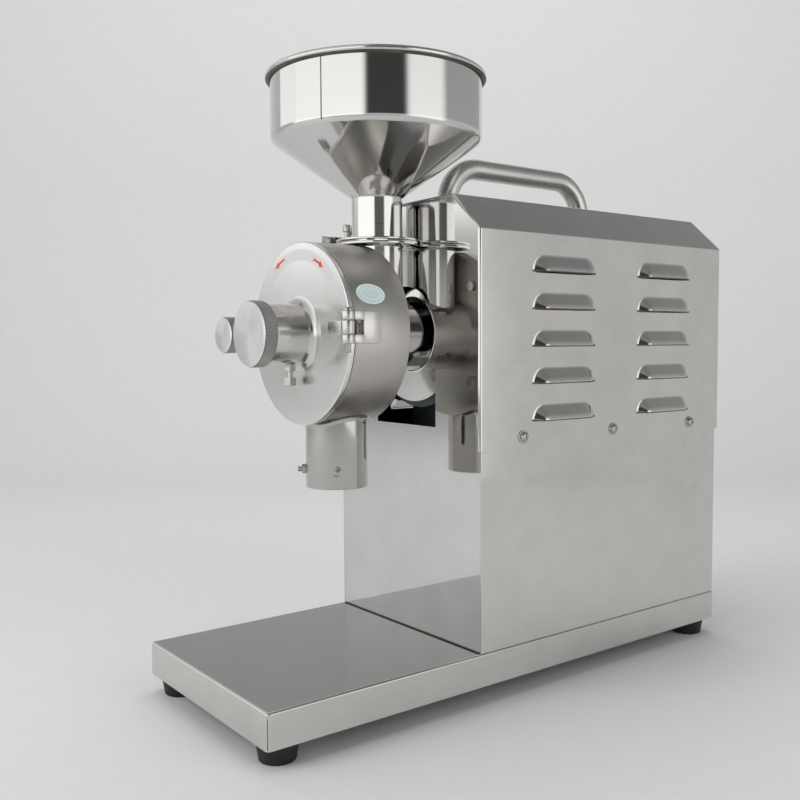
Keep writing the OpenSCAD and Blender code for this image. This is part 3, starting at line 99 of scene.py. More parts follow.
class GrinderSizes(bpy.types.PropertyGroup):
    """Sizes of the dressed pieces."""
    sheet: length("Sheet", "Thickness of the hood and tray sheet", 1.5)
    bend: length("Bend radius", "Outer radius of the sheet bends", 3)
    hem: length("Hem", "Outer radius of the hood's turned-in front edge", 3)
    tray_corner: length("Tray corner", "Radius of the tray's upright corners", 4)
    tray_bend: length("Tray bend", "Outer radius of the tray's folded edges", 2.2)
    slope_wide: length("Hood slope width", "Width of the hood's sloped shoulder", 39.5)
    slope_high: length("Hood slope height", "Height of the hood's sloped shoulder", 36)
    louver_long: length("Louver length", "Length of one louver at its lip", 92)
    louver_high: length("Louver height", "Height of one louver", 17)
    louver_out: length("Louver depth", "How far a louver stands out", 8)
    louver_front: length("Louver front gap", "Front plate's face to the front column of louvers", 66)
    louver_rear: length("Louver rear gap", "Rear column of louvers to the hood's rear edge", 57)
    louver_low: length("Louver lower gap", "Hood's lower edge to the lowest lip", 25.3)
    louver_top: length("Louver upper gap", "Highest louver to the hood's slope", 21.3)
    window: length("Window", "Radius of the front plate's arched window", 49)
    window_foot: length("Window foot", "Shaft to the window's lower edge", 93)
    handle: length("Handle tube", "Diameter of the handle's tube", 22)
    handle_bend: length("Handle bend", "Centre line radius of the handle's bends", 41)
    hopper: length("Hopper", "Outside diameter of the hopper", 210)
    hopper_high: length("Hopper height", "Height of the hopper's upright wall", 63)
    cone_high: length("Cone height", "Height of the hopper's cone", 56)
    hopper_wall: length("Hopper wall", "Sheet thickness of the hopper", 1.2)
    hopper_bend: length("Hopper bend", "Radius between the hopper's cone and wall", 8)
    rim: length("Rolled rim", "Diameter of the hopper's rolled rim", 6)
    feed: length("Feed tube", "Outside diameter of the feed tube", 50.8)
    chute_wall: length("Chute wall", "Wall of the tube below the gate", 1.5)
    flange: length("Flange", "Radius of the flanges at the gate", 41)
    drum: length("Drum", "Outside diameter of the drum and lid", 174)
    drum_wall: length("Drum wall", "Wall of the drum", 5)
    lid_thick: length("Lid", "Thickness of the lid's plate", 5)
    sleeve: length("Sleeve", "Diameter of the lid's sleeve", 57)
    fillet: length("Sleeve fillet", "Fillet between the sleeve and the lid", 8)
    spindle: length("Spindle", "Diameter of the adjusting spindle", 22)
    knob: length("Adjusting knob", "Diameter of the adjusting knob", 62)
    clamp_knob: length("Clamp knob", "Diameter of the clamp knob", 37.5)
    knurl: length("Knurl", "Spacing of the knurl's points", 1.5)
    knurl_high: length("Knurl depth", "Height of the knurl's points", 0.7)
    neck: length("Neck", "Diameter of the neck behind the drum", 74)
    neck_wall: length("Neck wall", "Wall of the neck", 6)
    spout: length("Spout", "Outside diameter of the spout", 60)
    spout_wall: length("Spout wall", "Wall of the spout", 1.5)
    spout_fillet: length("Spout fillet", "Ground weld between the spout and the drum", 4.5)
    spout_screw: length("Spout screws", "Spout's lower edge to its screws", 17)
    seam: length("Seam", "Width of the welded corner seams", 0.9)


class GrinderColours(bpy.types.PropertyGroup):
    """Colours of the dressed pieces."""
    mirror: colour("Mirror steel", "Polished stainless steel", "DBDAD8")
    bright: colour("Bright steel", "Fine-turned faces of the lid and knobs", "EDECEA")
    sheet: colour("Sheet steel", "Bright stainless sheet", "D9D7D4")
    satin: colour("Satin steel", "Turned stainless steel", "D5D3CF")
    drum: colour("Drum steel", "Turned side of the drum", "C4C1BB")
    tube: colour("Spout steel", "Drawn tube of the spout", "BFBDB9")
    # Painted shade: the tray's top is a darker tint of the sheet
    tray: colour("Tray top", "Dull rolled sheet of the tray's top", "8E8D8C")
    zinc: colour("Screw steel", "Plated screws", "BDBBB6")
    iron: colour("Tool steel", "Ground burr steel", "77777A")
    rubber: colour("Rubber", "Moulded feet and seals", "141414")
    arrows: colour("Arrows", "Printed arrows on the lid", "D6402C")
    label: colour("Label", "Blank oval label", "C6DADC")
    motor: colour("Motor paint", "Painted motor housing", "4C545A")
    floor: colour("Floor", "Floor and backdrop", "D2D2D2")


def sizes():
    return bpy.context.scene.grinder_sizes


def colours():
    return bpy.context.scene.grinder_colours


# Materials


def add(tree, kind, settings=None, links=None):
    """Adds a node, sets its properties and sockets, and links its sockets."""
    made = tree.nodes.new(kind)
    for key, value in (settings or {}).items():
        if isinstance(key, str) and hasattr(made, key):
            setattr(made, key, value)
        else:
            made.inputs[key].default_value = value
    for key, source in (links or {}).items():
        tree.links.new(source, made.inputs[key])
    return made


def blank(name):
    """An empty material with its shader, and the coordinates that patterns read."""
    made = bpy.data.materials.new(name)
    made.use_nodes = True
    tree = made.node_tree
    tree.nodes.clear()
    shader = add(tree, "ShaderNodeBsdfPrincipled")
    add(tree, "ShaderNodeOutputMaterial", links={"Surface": shader.outputs["BSDF"]})
    place = add(tree, "ShaderNodeTexCoord").outputs["Object"]
    return made, tree, shader, place


def per(millimetres):
    """The texture scale that gives features of a size."""
    return 1 / (millimetres * MM)


def noise(tree, place, feature_mm, detail, rough=0.5):
    """Soft noise with features of a size."""
    return add(tree, "ShaderNodeTexNoise", {"Scale": per(feature_mm), "Detail": detail, "Roughness": rough},
        {"Vector": place}).outputs["Fac"]


def blend(tree, value, start, end, low, high):
    """Goes from low to high while a value goes from start to end."""
    return add(tree, "ShaderNodeMapRange", {"From Min": start, "From Max": end, "To Min": low,
        "To Max": high}, {"Value": value}).outputs[0]


def compute(tree, operation, first, second):
    """Two values added, multiplied or compared."""
    return add(tree, "ShaderNodeMath", {"operation": operation}, {0: first, 1: second}).outputs[0]


def off_axis(tree, place, centre, axis):
    """A place seen from a centre, and its distance from the axis through that."""
    moved = add(tree, "ShaderNodeMapping", {"Location": [-c for c in centre]}, {"Vector": place}).outputs[0]
    flat = add(tree, "ShaderNodeVectorMath", {"operation": "MULTIPLY", 1: [1 - abs(a) for a in axis]},
        {0: moved}).outputs[0]
    return moved, add(tree, "ShaderNodeVectorMath", {"operation": "LENGTH"}, {0: flat}).outputs["Value"]


def coat(tree, shader, tint, tone, gloss, metal=1):
    """Gives a shader its tint, made lighter or darker by a tone, and its roughness."""
    tinted = add(tree, "ShaderNodeMix", {"data_type": "RGBA", "blend_type": "MULTIPLY", 0: 1.0,
        6: (*tint, 1)}, {7: tone})
    shader.inputs["Metallic"].default_value = metal
    tree.links.new(tinted.outputs[2], shader.inputs["Base Color"])
    tree.links.new(gloss, shader.inputs["Roughness"])


def emboss(tree, shader, pattern, depth_mm):
    """Lets a pattern stand out from the surface."""
    bump = add(tree, "ShaderNodeBump", {"Strength": 1.0, "Distance": depth_mm * MM}, {"Height": pattern})
    tree.links.new(bump.outputs[0], shader.inputs["Normal"])


def sheet_steel(name, tint, rough, wave_mm, grain_mm):
    """Rolled stainless sheet: near-mirror reflections that bend a little where the sheet isn't flat,
    with faint rolling grain and smudges that blur them here and there."""
    made, tree, shader, place = blank(name)
    # Sheet of this size bows over about a hand's breadth
    bow = noise(tree, place, 140, 1.5)
    rolled = add(tree, "ShaderNodeMapping", {"Scale": (1, 0.03, 1)}, {"Vector": place}).outputs[0]
    smudge = noise(tree, place, 45, 4, 0.6)
    worn = compute(tree, "MULTIPLY", noise(tree, rolled, grain_mm, 2), smudge)
    gloss = blend(tree, worn, 0.1, 0.45, rough * 0.75, rough * 1.35)
    coat(tree, shader, tint, blend(tree, smudge, 0.3, 0.7, 0.94, 1.03), gloss)
    emboss(tree, shader, bow, wave_mm)
    return made


def turned_steel(name, tint, rough, axis, centre, groove_mm, depth_mm, sheen=0.0, spread=0.08):
    """Stainless turned on a lathe: fine tool marks run round the axis, on faces and round sides alike,
    and draw the highlights out across them."""
    made, tree, shader, place = blank(name)
    moved, radius = off_axis(tree, place, centre, axis)
    height = add(tree, "ShaderNodeVectorMath", {"operation": "DOT_PRODUCT", 1: axis}, {0: moved})
    run = compute(tree, "ADD", radius, height.outputs["Value"])
    marks = add(tree, "ShaderNodeTexNoise", {"noise_dimensions": "1D", "Scale": per(groove_mm), "Detail": 3,
        "Roughness": 0.7}, {"W": run}).outputs["Fac"]
    worn = compute(tree, "ADD", marks, noise(tree, place, 30, 4))
    gloss = blend(tree, worn, 0.6, 1.4, rough * 0.75, rough * 1.3)
    coat(tree, shader, tint, blend(tree, worn, 0.6, 1.4, 1 - spread, 1 + spread / 2), gloss)
    emboss(tree, shader, marks, depth_mm)
    if sheen:
        shader.inputs["Anisotropic"].default_value = sheen
        turn = add(tree, "ShaderNodeTangent", {"direction_type": "RADIAL",
            "axis": "XYZ"[max(range(3), key=lambda i: abs(axis[i]))]})
        tree.links.new(turn.outputs[0], shader.inputs["Tangent"])
    return made


def fine_grained(name, tint, rough, metal, grain_mm, depth_mm, spread=0.12):
    """A material with a fine all-over grain: cast or plated metal, moulded plastic, rubber, print."""
    made, tree, shader, place = blank(name)
    grain = noise(tree, place, grain_mm, 3)
    tone = blend(tree, noise(tree, place, 25, 3), 0.3, 0.7, 1 - spread, 1 + spread)
    coat(tree, shader, tint, tone, blend(tree, grain, 0.3, 0.7, rough * 0.85, min(1, rough * 1.15)), metal)
    emboss(tree, shader, grain, depth_mm)
    return made


def knurled_steel(name, tint, centre, root, tip):
    """Rolled knurl in stainless: painted highlight on the points and painted shade in the grooves between them."""
    made, tree, shader, place = blank(name)
    radius = off_axis(tree, place, centre, BACK)[1]
    # Painted shade and highlight: darker towards the grooves' roots, lighter at the points
    tone = blend(tree, radius, root, tip, 0.3, 1.3)
    coat(tree, shader, tint, tone, blend(tree, radius, root, tip, 0.5, 0.25))
    return made


def finishes():
    """Every finish on the machine, by a short name."""
    c = colours()
    s = sizes()
    spout = middle("discharge_spout")
    return {
        # Mirror-polished 304 sheet: clear reflections
        "mirror": sheet_steel("stainless_mirror_polished", c.mirror, 0.045, 0.5, 3),
        # Bright-annealed 304 sheet: reflections a little soft
        "sheet": sheet_steel("stainless_bright_annealed", c.sheet, 0.08, 0.8, 2),
        # Spun and buffed 304: faint rings and a clear shine
        "spun": turned_steel("stainless_spun_buffed", c.mirror, 0.08, UP, FEED, 3, 0.0008, spread=0.03),
        "spun_spout": turned_steel("stainless_tube_buffed", c.tube, 0.1, UP, spout, 3, 0.0008,
            spread=0.03),
        # Turned 304: grey satin with drawn-out highlights
        "drum": turned_steel("stainless_turned_drum", c.drum, 0.33, BACK, SHAFT, 0.9, 0.003, 0.5),
        "lid": turned_steel("stainless_turned_lid", c.bright, 0.22, BACK, SHAFT, 0.9, 0.002, 0.6, 0.04),
        "sleeve": turned_steel("stainless_fine_turned_sleeve", c.mirror, 0.2, BACK, SHAFT, 1.2, 0.0008, 0.2,
            0.04),
        "knob": turned_steel("stainless_turned_knob", c.bright, 0.3, BACK, SHAFT, 0.6, 0.006, 0.75),
        "clamp": turned_steel("stainless_turned_clamp", c.bright, 0.3, BACK, CLAMP, 0.6, 0.006, 0.75),
        "neck": turned_steel("stainless_turned_neck", c.mirror, 0.12, BACK, SHAFT, 1.2, 0.002, 0.3),
        # The knurls' tone is painted shade in the grooves and painted highlight on the points
        "knob_knurl": knurled_steel("stainless_knurled_knob", c.mirror, SHAFT, s.knob / 2 - s.knurl_high,
            s.knob / 2),
        "clamp_knurl": knurled_steel("stainless_knurled_clamp", c.mirror, CLAMP,
            s.clamp_knob / 2 - s.knurl_high, s.clamp_knob / 2),
        # Darker, rougher copy of the sheet for the tray's top: its darker tint is painted shade
        "dull": sheet_steel("stainless_tray_top_painted_shade", c.tray, 0.2, 0.4, 2),
        # Brushed 304 tube and small machined blocks
        "satin": fine_grained("stainless_satin_brushed", c.satin, 0.27, 1, 0.8, 0.004, 0.05),
        # Bright zinc on mild steel: soft grey shine
        "zinc": fine_grained("steel_zinc_plated", c.zinc, 0.17, 1, 0.7, 0.006, 0.06),
        # Ground tool steel: dull grey shine
        "iron": fine_grained("tool_steel_ground", c.iron, 0.42, 1, 0.9, 0.02, 0.1),
        # Moulded rubber: dark and dull, with a soft bloom
        "rubber": fine_grained("rubber_moulded", c.rubber, 0.55, 0, 0.8, 0.05, 0.25),
        # Weld left rough, darker than the sheet; the same finish is painted shade under the hopper's roll and
        # along the louvers' lips
        "weld": fine_grained("stainless_weld_bead_and_painted_shade", linear("6F6A63"), 0.5, 1, 1.6, 0.12, 0.3),
        # Sealant in the joint at the foot of the plate
        "sealant": fine_grained("silicone_sealant_dark", linear("22211F"), 0.45, 0, 4, 0.5, 0.5),
        # Printed ink
        "arrows": fine_grained("screen_print_red", c.arrows, 0.45, 0, 0.6, 0.004, 0.06),
        # Clear film over the lid's steel: a little paler than the steel beside it
        "film": fine_grained("vinyl_clear_film", linear("F6F6F4"), 0.24, 1, 0.9, 0.002, 0.02),
        # Vinyl labels
        "label": fine_grained("vinyl_label_blue", c.label, 0.35, 0, 0.9, 0.004, 0.03),
        "label_edge": fine_grained("vinyl_label_white", linear("E9EEEE"), 0.35, 0, 0.9, 0.004, 0.02),
        # Stoved paint on the motor
        "paint": fine_grained("motor_stoved_paint", c.motor, 0.4, 0, 1.5, 0.03, 0.06),
        "copper": fine_grained("copper_varnished_windings", linear("8A4A2A"), 0.4, 0.8, 1.2, 0.25, 0.2),
        # Moulded plastics
        "black": fine_grained("abs_moulded_black", linear("17181A"), 0.42, 0, 0.7, 0.03, 0.1),
        "pale": fine_grained("nylon_moulded_natural", linear("DAD8D0"), 0.45, 0, 0.9, 0.02, 0.04),
        "green": fine_grained("abs_moulded_green", linear("1E7A3A"), 0.28, 0, 0.9, 0.01, 0.05),
        "red": fine_grained("abs_moulded_red", linear("B8231C"), 0.28, 0, 0.9, 0.01, 0.05),
    }


FINISH = {}


# Modelling


def point(x, y, z):
    """A place given in millimetres from the middle, the front plate's face and the tray's top."""
    return Vector((x * MM, FRONT + y * MM, TRAY_TOP + z * MM))


def middle(node):
    """The middle of a node's box."""
    low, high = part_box(node)
    return (low + high) / 2


def along(node):
    """Front and rear of a node, in millimetres from the front plate's face."""
    low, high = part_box(node)
    return (low.y - FRONT) / MM, (high.y - FRONT) / MM


def levels(node):
    """Bottom and top of a node, in millimetres above the tray's top."""
    low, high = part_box(node)
    return (low.z - TRAY_TOP) / MM, (high.z - TRAY_TOP) / MM


def clear():
    """Goes back to object mode with nothing selected."""
    if bpy.context.mode != "OBJECT":
        bpy.ops.object.mode_set(mode="OBJECT")
    bpy.ops.object.select_all(action="DESELECT")


def hold(piece):
    """Makes a piece the only one selected."""
    clear()
    piece.select_set(True)
    bpy.context.view_layer.objects.active = piece
    return piece


def keep(name):
    """Names the piece that was just added and puts its place into its mesh."""
    piece = bpy.context.view_layer.objects.active
    piece.name = name
    piece.data.name = name
    bpy.ops.object.transform_apply(location=True, rotation=True, scale=True)
    return piece


def edit(piece):
    """Opens a piece in edit mode with all of it selected."""
    hold(piece)
    bpy.ops.object.mode_set(mode="EDIT")
    bpy.ops.mesh.select_mode(type="VERT")
    bpy.ops.mesh.select_all(action="SELECT")


def pick(kind, test):
    """In edit mode, selects the vertices, edges or faces whose every corner passes a test."""
    bpy.ops.mesh.select_mode(type=kind)
    bpy.ops.mesh.select_all(action="DESELECT")
    data = bpy.context.edit_object.data
    mesh = bmesh.from_edit_mesh(data)
    for item in {"VERT": mesh.verts, "EDGE": mesh.edges, "FACE": mesh.faces}[kind]:
        corners = [item] if kind == "VERT" else item.verts
        if all(test(corner.co) for corner in corners):
            item.select_set(True)
    bmesh.update_edit_mesh(data)


def tidy():
    """In edit mode, merges doubles and turns the faces outwards."""
    bpy.ops.mesh.select_all(action="SELECT")
    bpy.ops.mesh.remove_doubles(threshold=0.002 * MM)
    bpy.ops.mesh.normals_make_consistent(inside=False)


def round_edges(width, segments=2, sharp=50):
    """In edit mode, rounds the edges that are sharper than an angle."""
    bpy.ops.mesh.select_mode(type="EDGE")
    bpy.ops.mesh.select_all(action="DESELECT")
    bpy.ops.mesh.edges_select_sharp(sharpness=math.radians(sharp))
    bpy.ops.mesh.bevel(offset=width, segments=segments, affect="EDGES", clamp_overlap=True)


def smooth(piece, angle=32):
    hold(piece)
    bpy.ops.object.shade_smooth_by_angle(angle=math.radians(angle))
    return piece


def even(piece, angle=32):
    """Smooth shading that leaves broad flat faces flat, so the light bends in the rounded edges only."""
    smooth(piece, angle)
    return apply(piece, "WEIGHTED_NORMAL", weight=100, keep_sharp=True)


def modify(piece, kind, **settings):
    """Adds a modifier with its settings."""
    change = piece.modifiers.new(kind.lower(), kind)
    for key, value in settings.items():
        setattr(change, key, value)
    return change


def apply(piece, kind, **settings):
    """Adds a modifier with its settings and applies it."""
    hold(piece)
    change = modify(piece, kind, **settings)
    bpy.ops.object.modifier_apply(modifier=change.name)
    return piece


def wire(name, places):
    """A chain of edges through places, left open in edit mode."""
    clear()
    bpy.ops.mesh.primitive_plane_add(size=MM, location=places[0])
    piece = keep(name)
    edit(piece)
    bpy.ops.mesh.merge(type="CENTER")
    for start, end in zip(places, places[1:]):
        bpy.ops.mesh.extrude_vertices_move(TRANSFORM_OT_translate={"value": end - start})
    return piece


def turned(name, outline, centre, axis, steps=96, angle=32):
    """A lathe piece: an outline of radius and height, in millimetres, spun about an axis."""
    axis = Vector(axis)
    out = RIGHT if abs(axis.x) < 0.5 else UP
    piece = wire(name, [Vector(centre) + out * r * MM + axis * h * MM for r, h in outline])
    bpy.ops.mesh.select_all(action="SELECT")
    bpy.ops.mesh.spin(steps=steps, angle=2 * math.pi, center=centre, axis=axis)
    tidy()
    return smooth(piece, angle)


def ring(name, outline, centre, axis, steps=96, angle=32):
    """A lathe piece with a hole through it: a closed outline, spun about an axis."""
    return turned(name, [*outline, outline[0]], centre, axis, steps, angle)


def plate(name, outline, lift, bevel=0.0, segments=2):
    """A flat piece: a closed outline of places, filled and drawn out by a vector."""
    piece = wire(name, [*outline, outline[0]])
    tidy()
    bpy.ops.mesh.edge_face_add()
    bpy.ops.mesh.extrude_region_move(TRANSFORM_OT_translate={"value": lift})
    tidy()
    if bevel:
        round_edges(bevel * MM, segments)
    return smooth(piece)


def block(name, low, high, bevel, segments=2):
    """A block between two corners, with rounded edges."""
    clear()
    bpy.ops.mesh.primitive_cube_add(size=1, location=(low + high) / 2, scale=high - low)
    piece = keep(name)
    edit(piece)
    bpy.ops.mesh.bevel(offset=bevel * MM, segments=segments, affect="EDGES")
    return smooth(piece)


def hexagon(name, centre, axis, flats, tall):
    """A nut or screw head: a hexagon with chamfered corners, drawn along an axis from its seat."""
    axis = Vector(axis)
    turn = axis.to_track_quat("Z", "Y").to_euler()
    clear()
    corner = flats / 2 / math.cos(math.pi / 6)
    bpy.ops.mesh.primitive_cylinder_add(vertices=6, radius=corner * MM, depth=tall * MM,
        location=Vector(centre) + axis * tall / 2 * MM, rotation=turn)
    piece = keep(name)
    edit(piece)
    far = Vector(centre) + axis * tall * MM
    pick("FACE", lambda p: (p - far).dot(axis) > -NEAR)
    bpy.ops.mesh.inset(thickness=flats * 0.09 * MM)
    bpy.ops.transform.translate(value=axis * flats * 0.05 * MM)
    return smooth(piece, 20)


def rounded(points, radii, steps=6):
    """An open or closed run of 2D points with a radius at each corner, 0 for a sharp one."""
    made = []
    for i, (corner, radius) in enumerate(zip(points, radii)):
        corner = Vector(corner)
        if radius <= 0:
            made.append(tuple(corner))
            continue
        before = (Vector(points[i - 1]) - corner).normalized()
        after = (Vector(points[(i + 1) % len(points)]) - corner).normalized()
        half = before.angle(after) / 2
        hub = corner + (before + after).normalized() * radius / math.sin(half)
        start = corner + before * radius / math.tan(half) - hub
        end = corner + after * radius / math.tan(half) - hub
        first = math.atan2(start.y, start.x)
        turn = (math.atan2(end.y, end.x) - first + 3 * math.pi) % (2 * math.pi) - math.pi
        for k in range(steps + 1):
            a = first + turn * k / steps
            made.append((hub.x + radius * math.cos(a), hub.y + radius * math.sin(a)))
    return made


def arc(x, y, radius, start, end, steps):
    """Points of an arc, with angles in degrees."""
    spread = [math.radians(start + (end - start) * k / steps) for k in range(steps + 1)]
    return [(x + radius * math.cos(a), y + radius * math.sin(a)) for a in spread]


def polar(radius, angle):
    return radius * math.cos(math.radians(angle)), radius * math.sin(math.radians(angle))


def copies(piece, moves):
    """Copies of a piece, each with a mesh of its own, moved by vectors."""
    made = []
    for move in moves:
        hold(piece)
        bpy.ops.object.duplicate(linked=False)
        bpy.ops.transform.translate(value=move)
        bpy.ops.object.transform_apply(location=True, rotation=True, scale=True)
        made.append(bpy.context.view_layer.objects.active)
    return made


def mirrored(piece, name):
    """The same piece on the other side of the machine."""
    hold(piece)
    bpy.ops.object.duplicate(linked=False)
    copy = bpy.context.view_layer.objects.active
    copy.name = name
    edit(copy)
    bpy.ops.transform.resize(value=(-1, 1, 1), center_override=(0, 0, 0))
    bpy.ops.mesh.flip_normals()
    return smooth(copy)


def join(name, pieces):
    hold(pieces[0])
    for piece in pieces:
        piece.select_set(True)
    bpy.ops.object.join()
    return keep(name)


def cut(piece, cutter):
    """Takes a cutter's shape out of a piece."""
    apply(piece, "BOOLEAN", object=cutter, operation="DIFFERENCE", solver="EXACT")
    bpy.data.objects.remove(cutter)
    return piece


def bore(piece, radius, start, end, centre, axis, steps=96):
    """Drills a round hole between two heights along an axis."""
    drill = turned("drill", [(0, start), (radius, start), (radius, end), (0, end)], centre, axis, steps)
    return cut(piece, drill)


def face_out(piece, direction):
    """In edit mode, turns a bent sheet's faces so that the one farthest out looks that way."""
    mesh = bmesh.from_edit_mesh(piece.data)
    farthest = max(mesh.faces, key=lambda face: face.calc_center_median().dot(direction))
    if farthest.normal.dot(direction) < 0:
        bpy.ops.mesh.flip_normals()


def dress(piece, finish, body, slot, *nodes):
    """Gives a piece its finish, the body that it rides on and the CAD nodes that it stands for."""
    piece.data.materials.clear()
    piece.data.materials.append(FINISH[finish])
    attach(piece, body)
    if nodes:
        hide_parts(*nodes)
    return piece


def also(piece, finish, test):
    """Gives a second finish to the faces whose middle passes a test."""
    piece.data.materials.append(FINISH[finish])
    last = len(piece.data.materials) - 1
    for face in piece.data.polygons:
        if test(face.center):
            face.material_index = last


# Pieces


class GRINDER_OT_tray(bpy.types.Operator):
    """Folds the tray's sheet, with its welded corners and the sealed joint at the plate"""
    bl_idname = "grinder.tray"
    bl_label = "Tray"

    def execute(self, context):
        s = sizes()
        low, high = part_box("base_tray")
        clear()
        bpy.ops.mesh.primitive_cube_add(size=1, location=(low + high) / 2, scale=high - low)
        tray = keep("folded_tray")
        edit(tray)
        bpy.ops.mesh.select_mode(type="EDGE")
        bpy.ops.mesh.select_all(action="DESELECT")
        mesh = bmesh.from_edit_mesh(tray.data)
        for edge in mesh.edges:
            edge.select_set(abs(edge.verts[0].co.z - edge.verts[1].co.z) > s.sheet)
        bmesh.update_edit_mesh(tray.data)
        bpy.ops.mesh.bevel(offset=s.tray_corner, segments=5, affect="EDGES")
        pick("FACE", lambda p: p.z < low.z + NEAR)
        bpy.ops.mesh.delete(type="FACE")
        pick("EDGE", lambda p: p.z > high.z - NEAR)
        bpy.ops.mesh.bevel(offset=s.tray_bend, segments=4, affect="EDGES")
        apply(tray, "SOLIDIFY", thickness=s.sheet, offset=-1)
        even(tray)
        # Pads that the feet are screwed to, cut off at the skirt
        inset, half, thick = 22 * MM, 41 * MM, 2 * MM
        pads = []
        for x in (low.x + inset, high.x - inset):
            for y in (low.y + inset, high.y - inset):
                near = Vector((max(x - half, low.x + s.sheet), max(y - half, low.y + s.sheet), low.z))
                far = Vector((min(x + half, high.x - s.sheet), min(y + half, high.y - s.sheet),
                    low.z + thick))
                pads.append(block("foot_pad", near, far, 0.3))
        tray = join("folded_tray", [tray, *pads])
        dress(tray, "sheet", "frame", "bright_stainless", "base_tray")
        # The tray's top takes the darker copy of the sheet: painted shade
        also(tray, "dull", lambda place: place.z > high.z - 0.05 * MM)
        # A dressed bead up each front corner
        bead = s.seam / 2 / MM
        outline = [(0, 1.2), (bead, 1.6), (bead * 0.84, 14), (bead, 25), (0, 29.4)]
        reach = s.tray_corner * (1 - math.sqrt(0.5))
        feet = [Vector((side * (high.x - reach), low.y + reach, low.z)) for side in (-1, 1)]
        beads = [turned("corner_weld", outline, foot, UP, 10) for foot in feet]
        dress(join("corner_welds", beads), "weld", "frame", "bright_stainless")
        half = 114
        strip = block("plate_sealant", point(-half, -1.3, -0.2), point(half, 0.2, 1.0), 0.5, 3)
        dress(strip, "sealant", "frame", "black_rubber")
        return {"FINISHED"}


class GRINDER_OT_feet(bpy.types.Operator):
    """Moulds the four rubber feet"""
    bl_idname = "grinder.feet"
    bl_label = "Rubber feet"

    def execute(self, context):
        low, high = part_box("rubber_feet")
        tall = (high.z - low.z) / MM
        top, sole, hole = 19, 16, 6.9
        first = Vector((high.x - top * MM, low.y + top * MM, low.z))
        outline = rounded([(hole, tall / 2), (hole, 0), (sole, 0), (top, tall), (0, tall), (0, tall / 2)],
            [0, 1, 2, 1.2, 0, 0], 4)
        foot = turned("rubber_foot", outline, first, UP, 64)
        back = BACK * (high.y - low.y - 2 * top * MM)
        side = RIGHT * (low.x - high.x + 2 * top * MM)
        others = copies(foot, [back, side, back + side])
        dress(foot, "rubber", "frame", "black_rubber", "rubber_feet")
        for other in others:
            dress(other, "rubber", "frame", "black_rubber")
        return {"FINISHED"}


def hood_side():
    """How far the hood's side is from the middle, without its louvers."""
    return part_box("top_hood")[1].x - sizes().louver_out


def hood_profile(inset):
    """The hood's bends in X and height above the tray, in millimetres, from the right edge to the left."""
    s = sizes()
    side = hood_side() / MM
    edge, roof = levels("top_hood")
    wide, high = s.slope_wide / MM, s.slope_high / MM
    lean = math.atan2(wide, high)
    shoulder = roof - high - inset * math.tan(lean / 2)
    ridge = side - wide - inset * math.tan(math.pi / 4 - lean / 2)
    right = [(side - inset, edge), (side - inset, shoulder), (ridge, roof - inset)]
    left = [(-x, z) for x, z in reversed(right)]
    bend = max(s.bend / MM - inset, 0.5)
    return rounded([*right, *left], [0, bend, bend, bend, bend, 0], 5)


def louver_profile():
    """A louver's section, out from the sheet and up from the lip: brim, fillet, slope and rounded lip."""
    s = sizes()
    high, out = s.louver_high / MM, s.louver_out / MM
    lean, fillet, brim, sunk = 34, 5, 1.2, 0.25
    rise, run = math.sin(math.radians(lean)), math.cos(math.radians(lean))
    # Both rounds together take up what the straight slope leaves of height and depth
    lip = (high * rise - out * run) / (1 - run) - fillet
    return [(-sunk, high + brim), *arc(fillet, high, fillet, 180, 180 + lean, 8),
        *arc(out - lip, 0, lip, lean, 0, 12)]


def louver_places():
    """Where each louver's lip is, on the right side: two columns of five."""
    low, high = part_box("top_hood")
    s = sizes()
    columns = (FRONT + s.louver_front + s.louver_long / 2, high.y - s.louver_rear - s.louver_long / 2)
    first = low.z + s.louver_low
    last = high.z - s.slope_high - s.louver_top - s.louver_high
    return [Vector((0, y, first + (last - first) * i / 4)) for y in columns for i in range(5)]


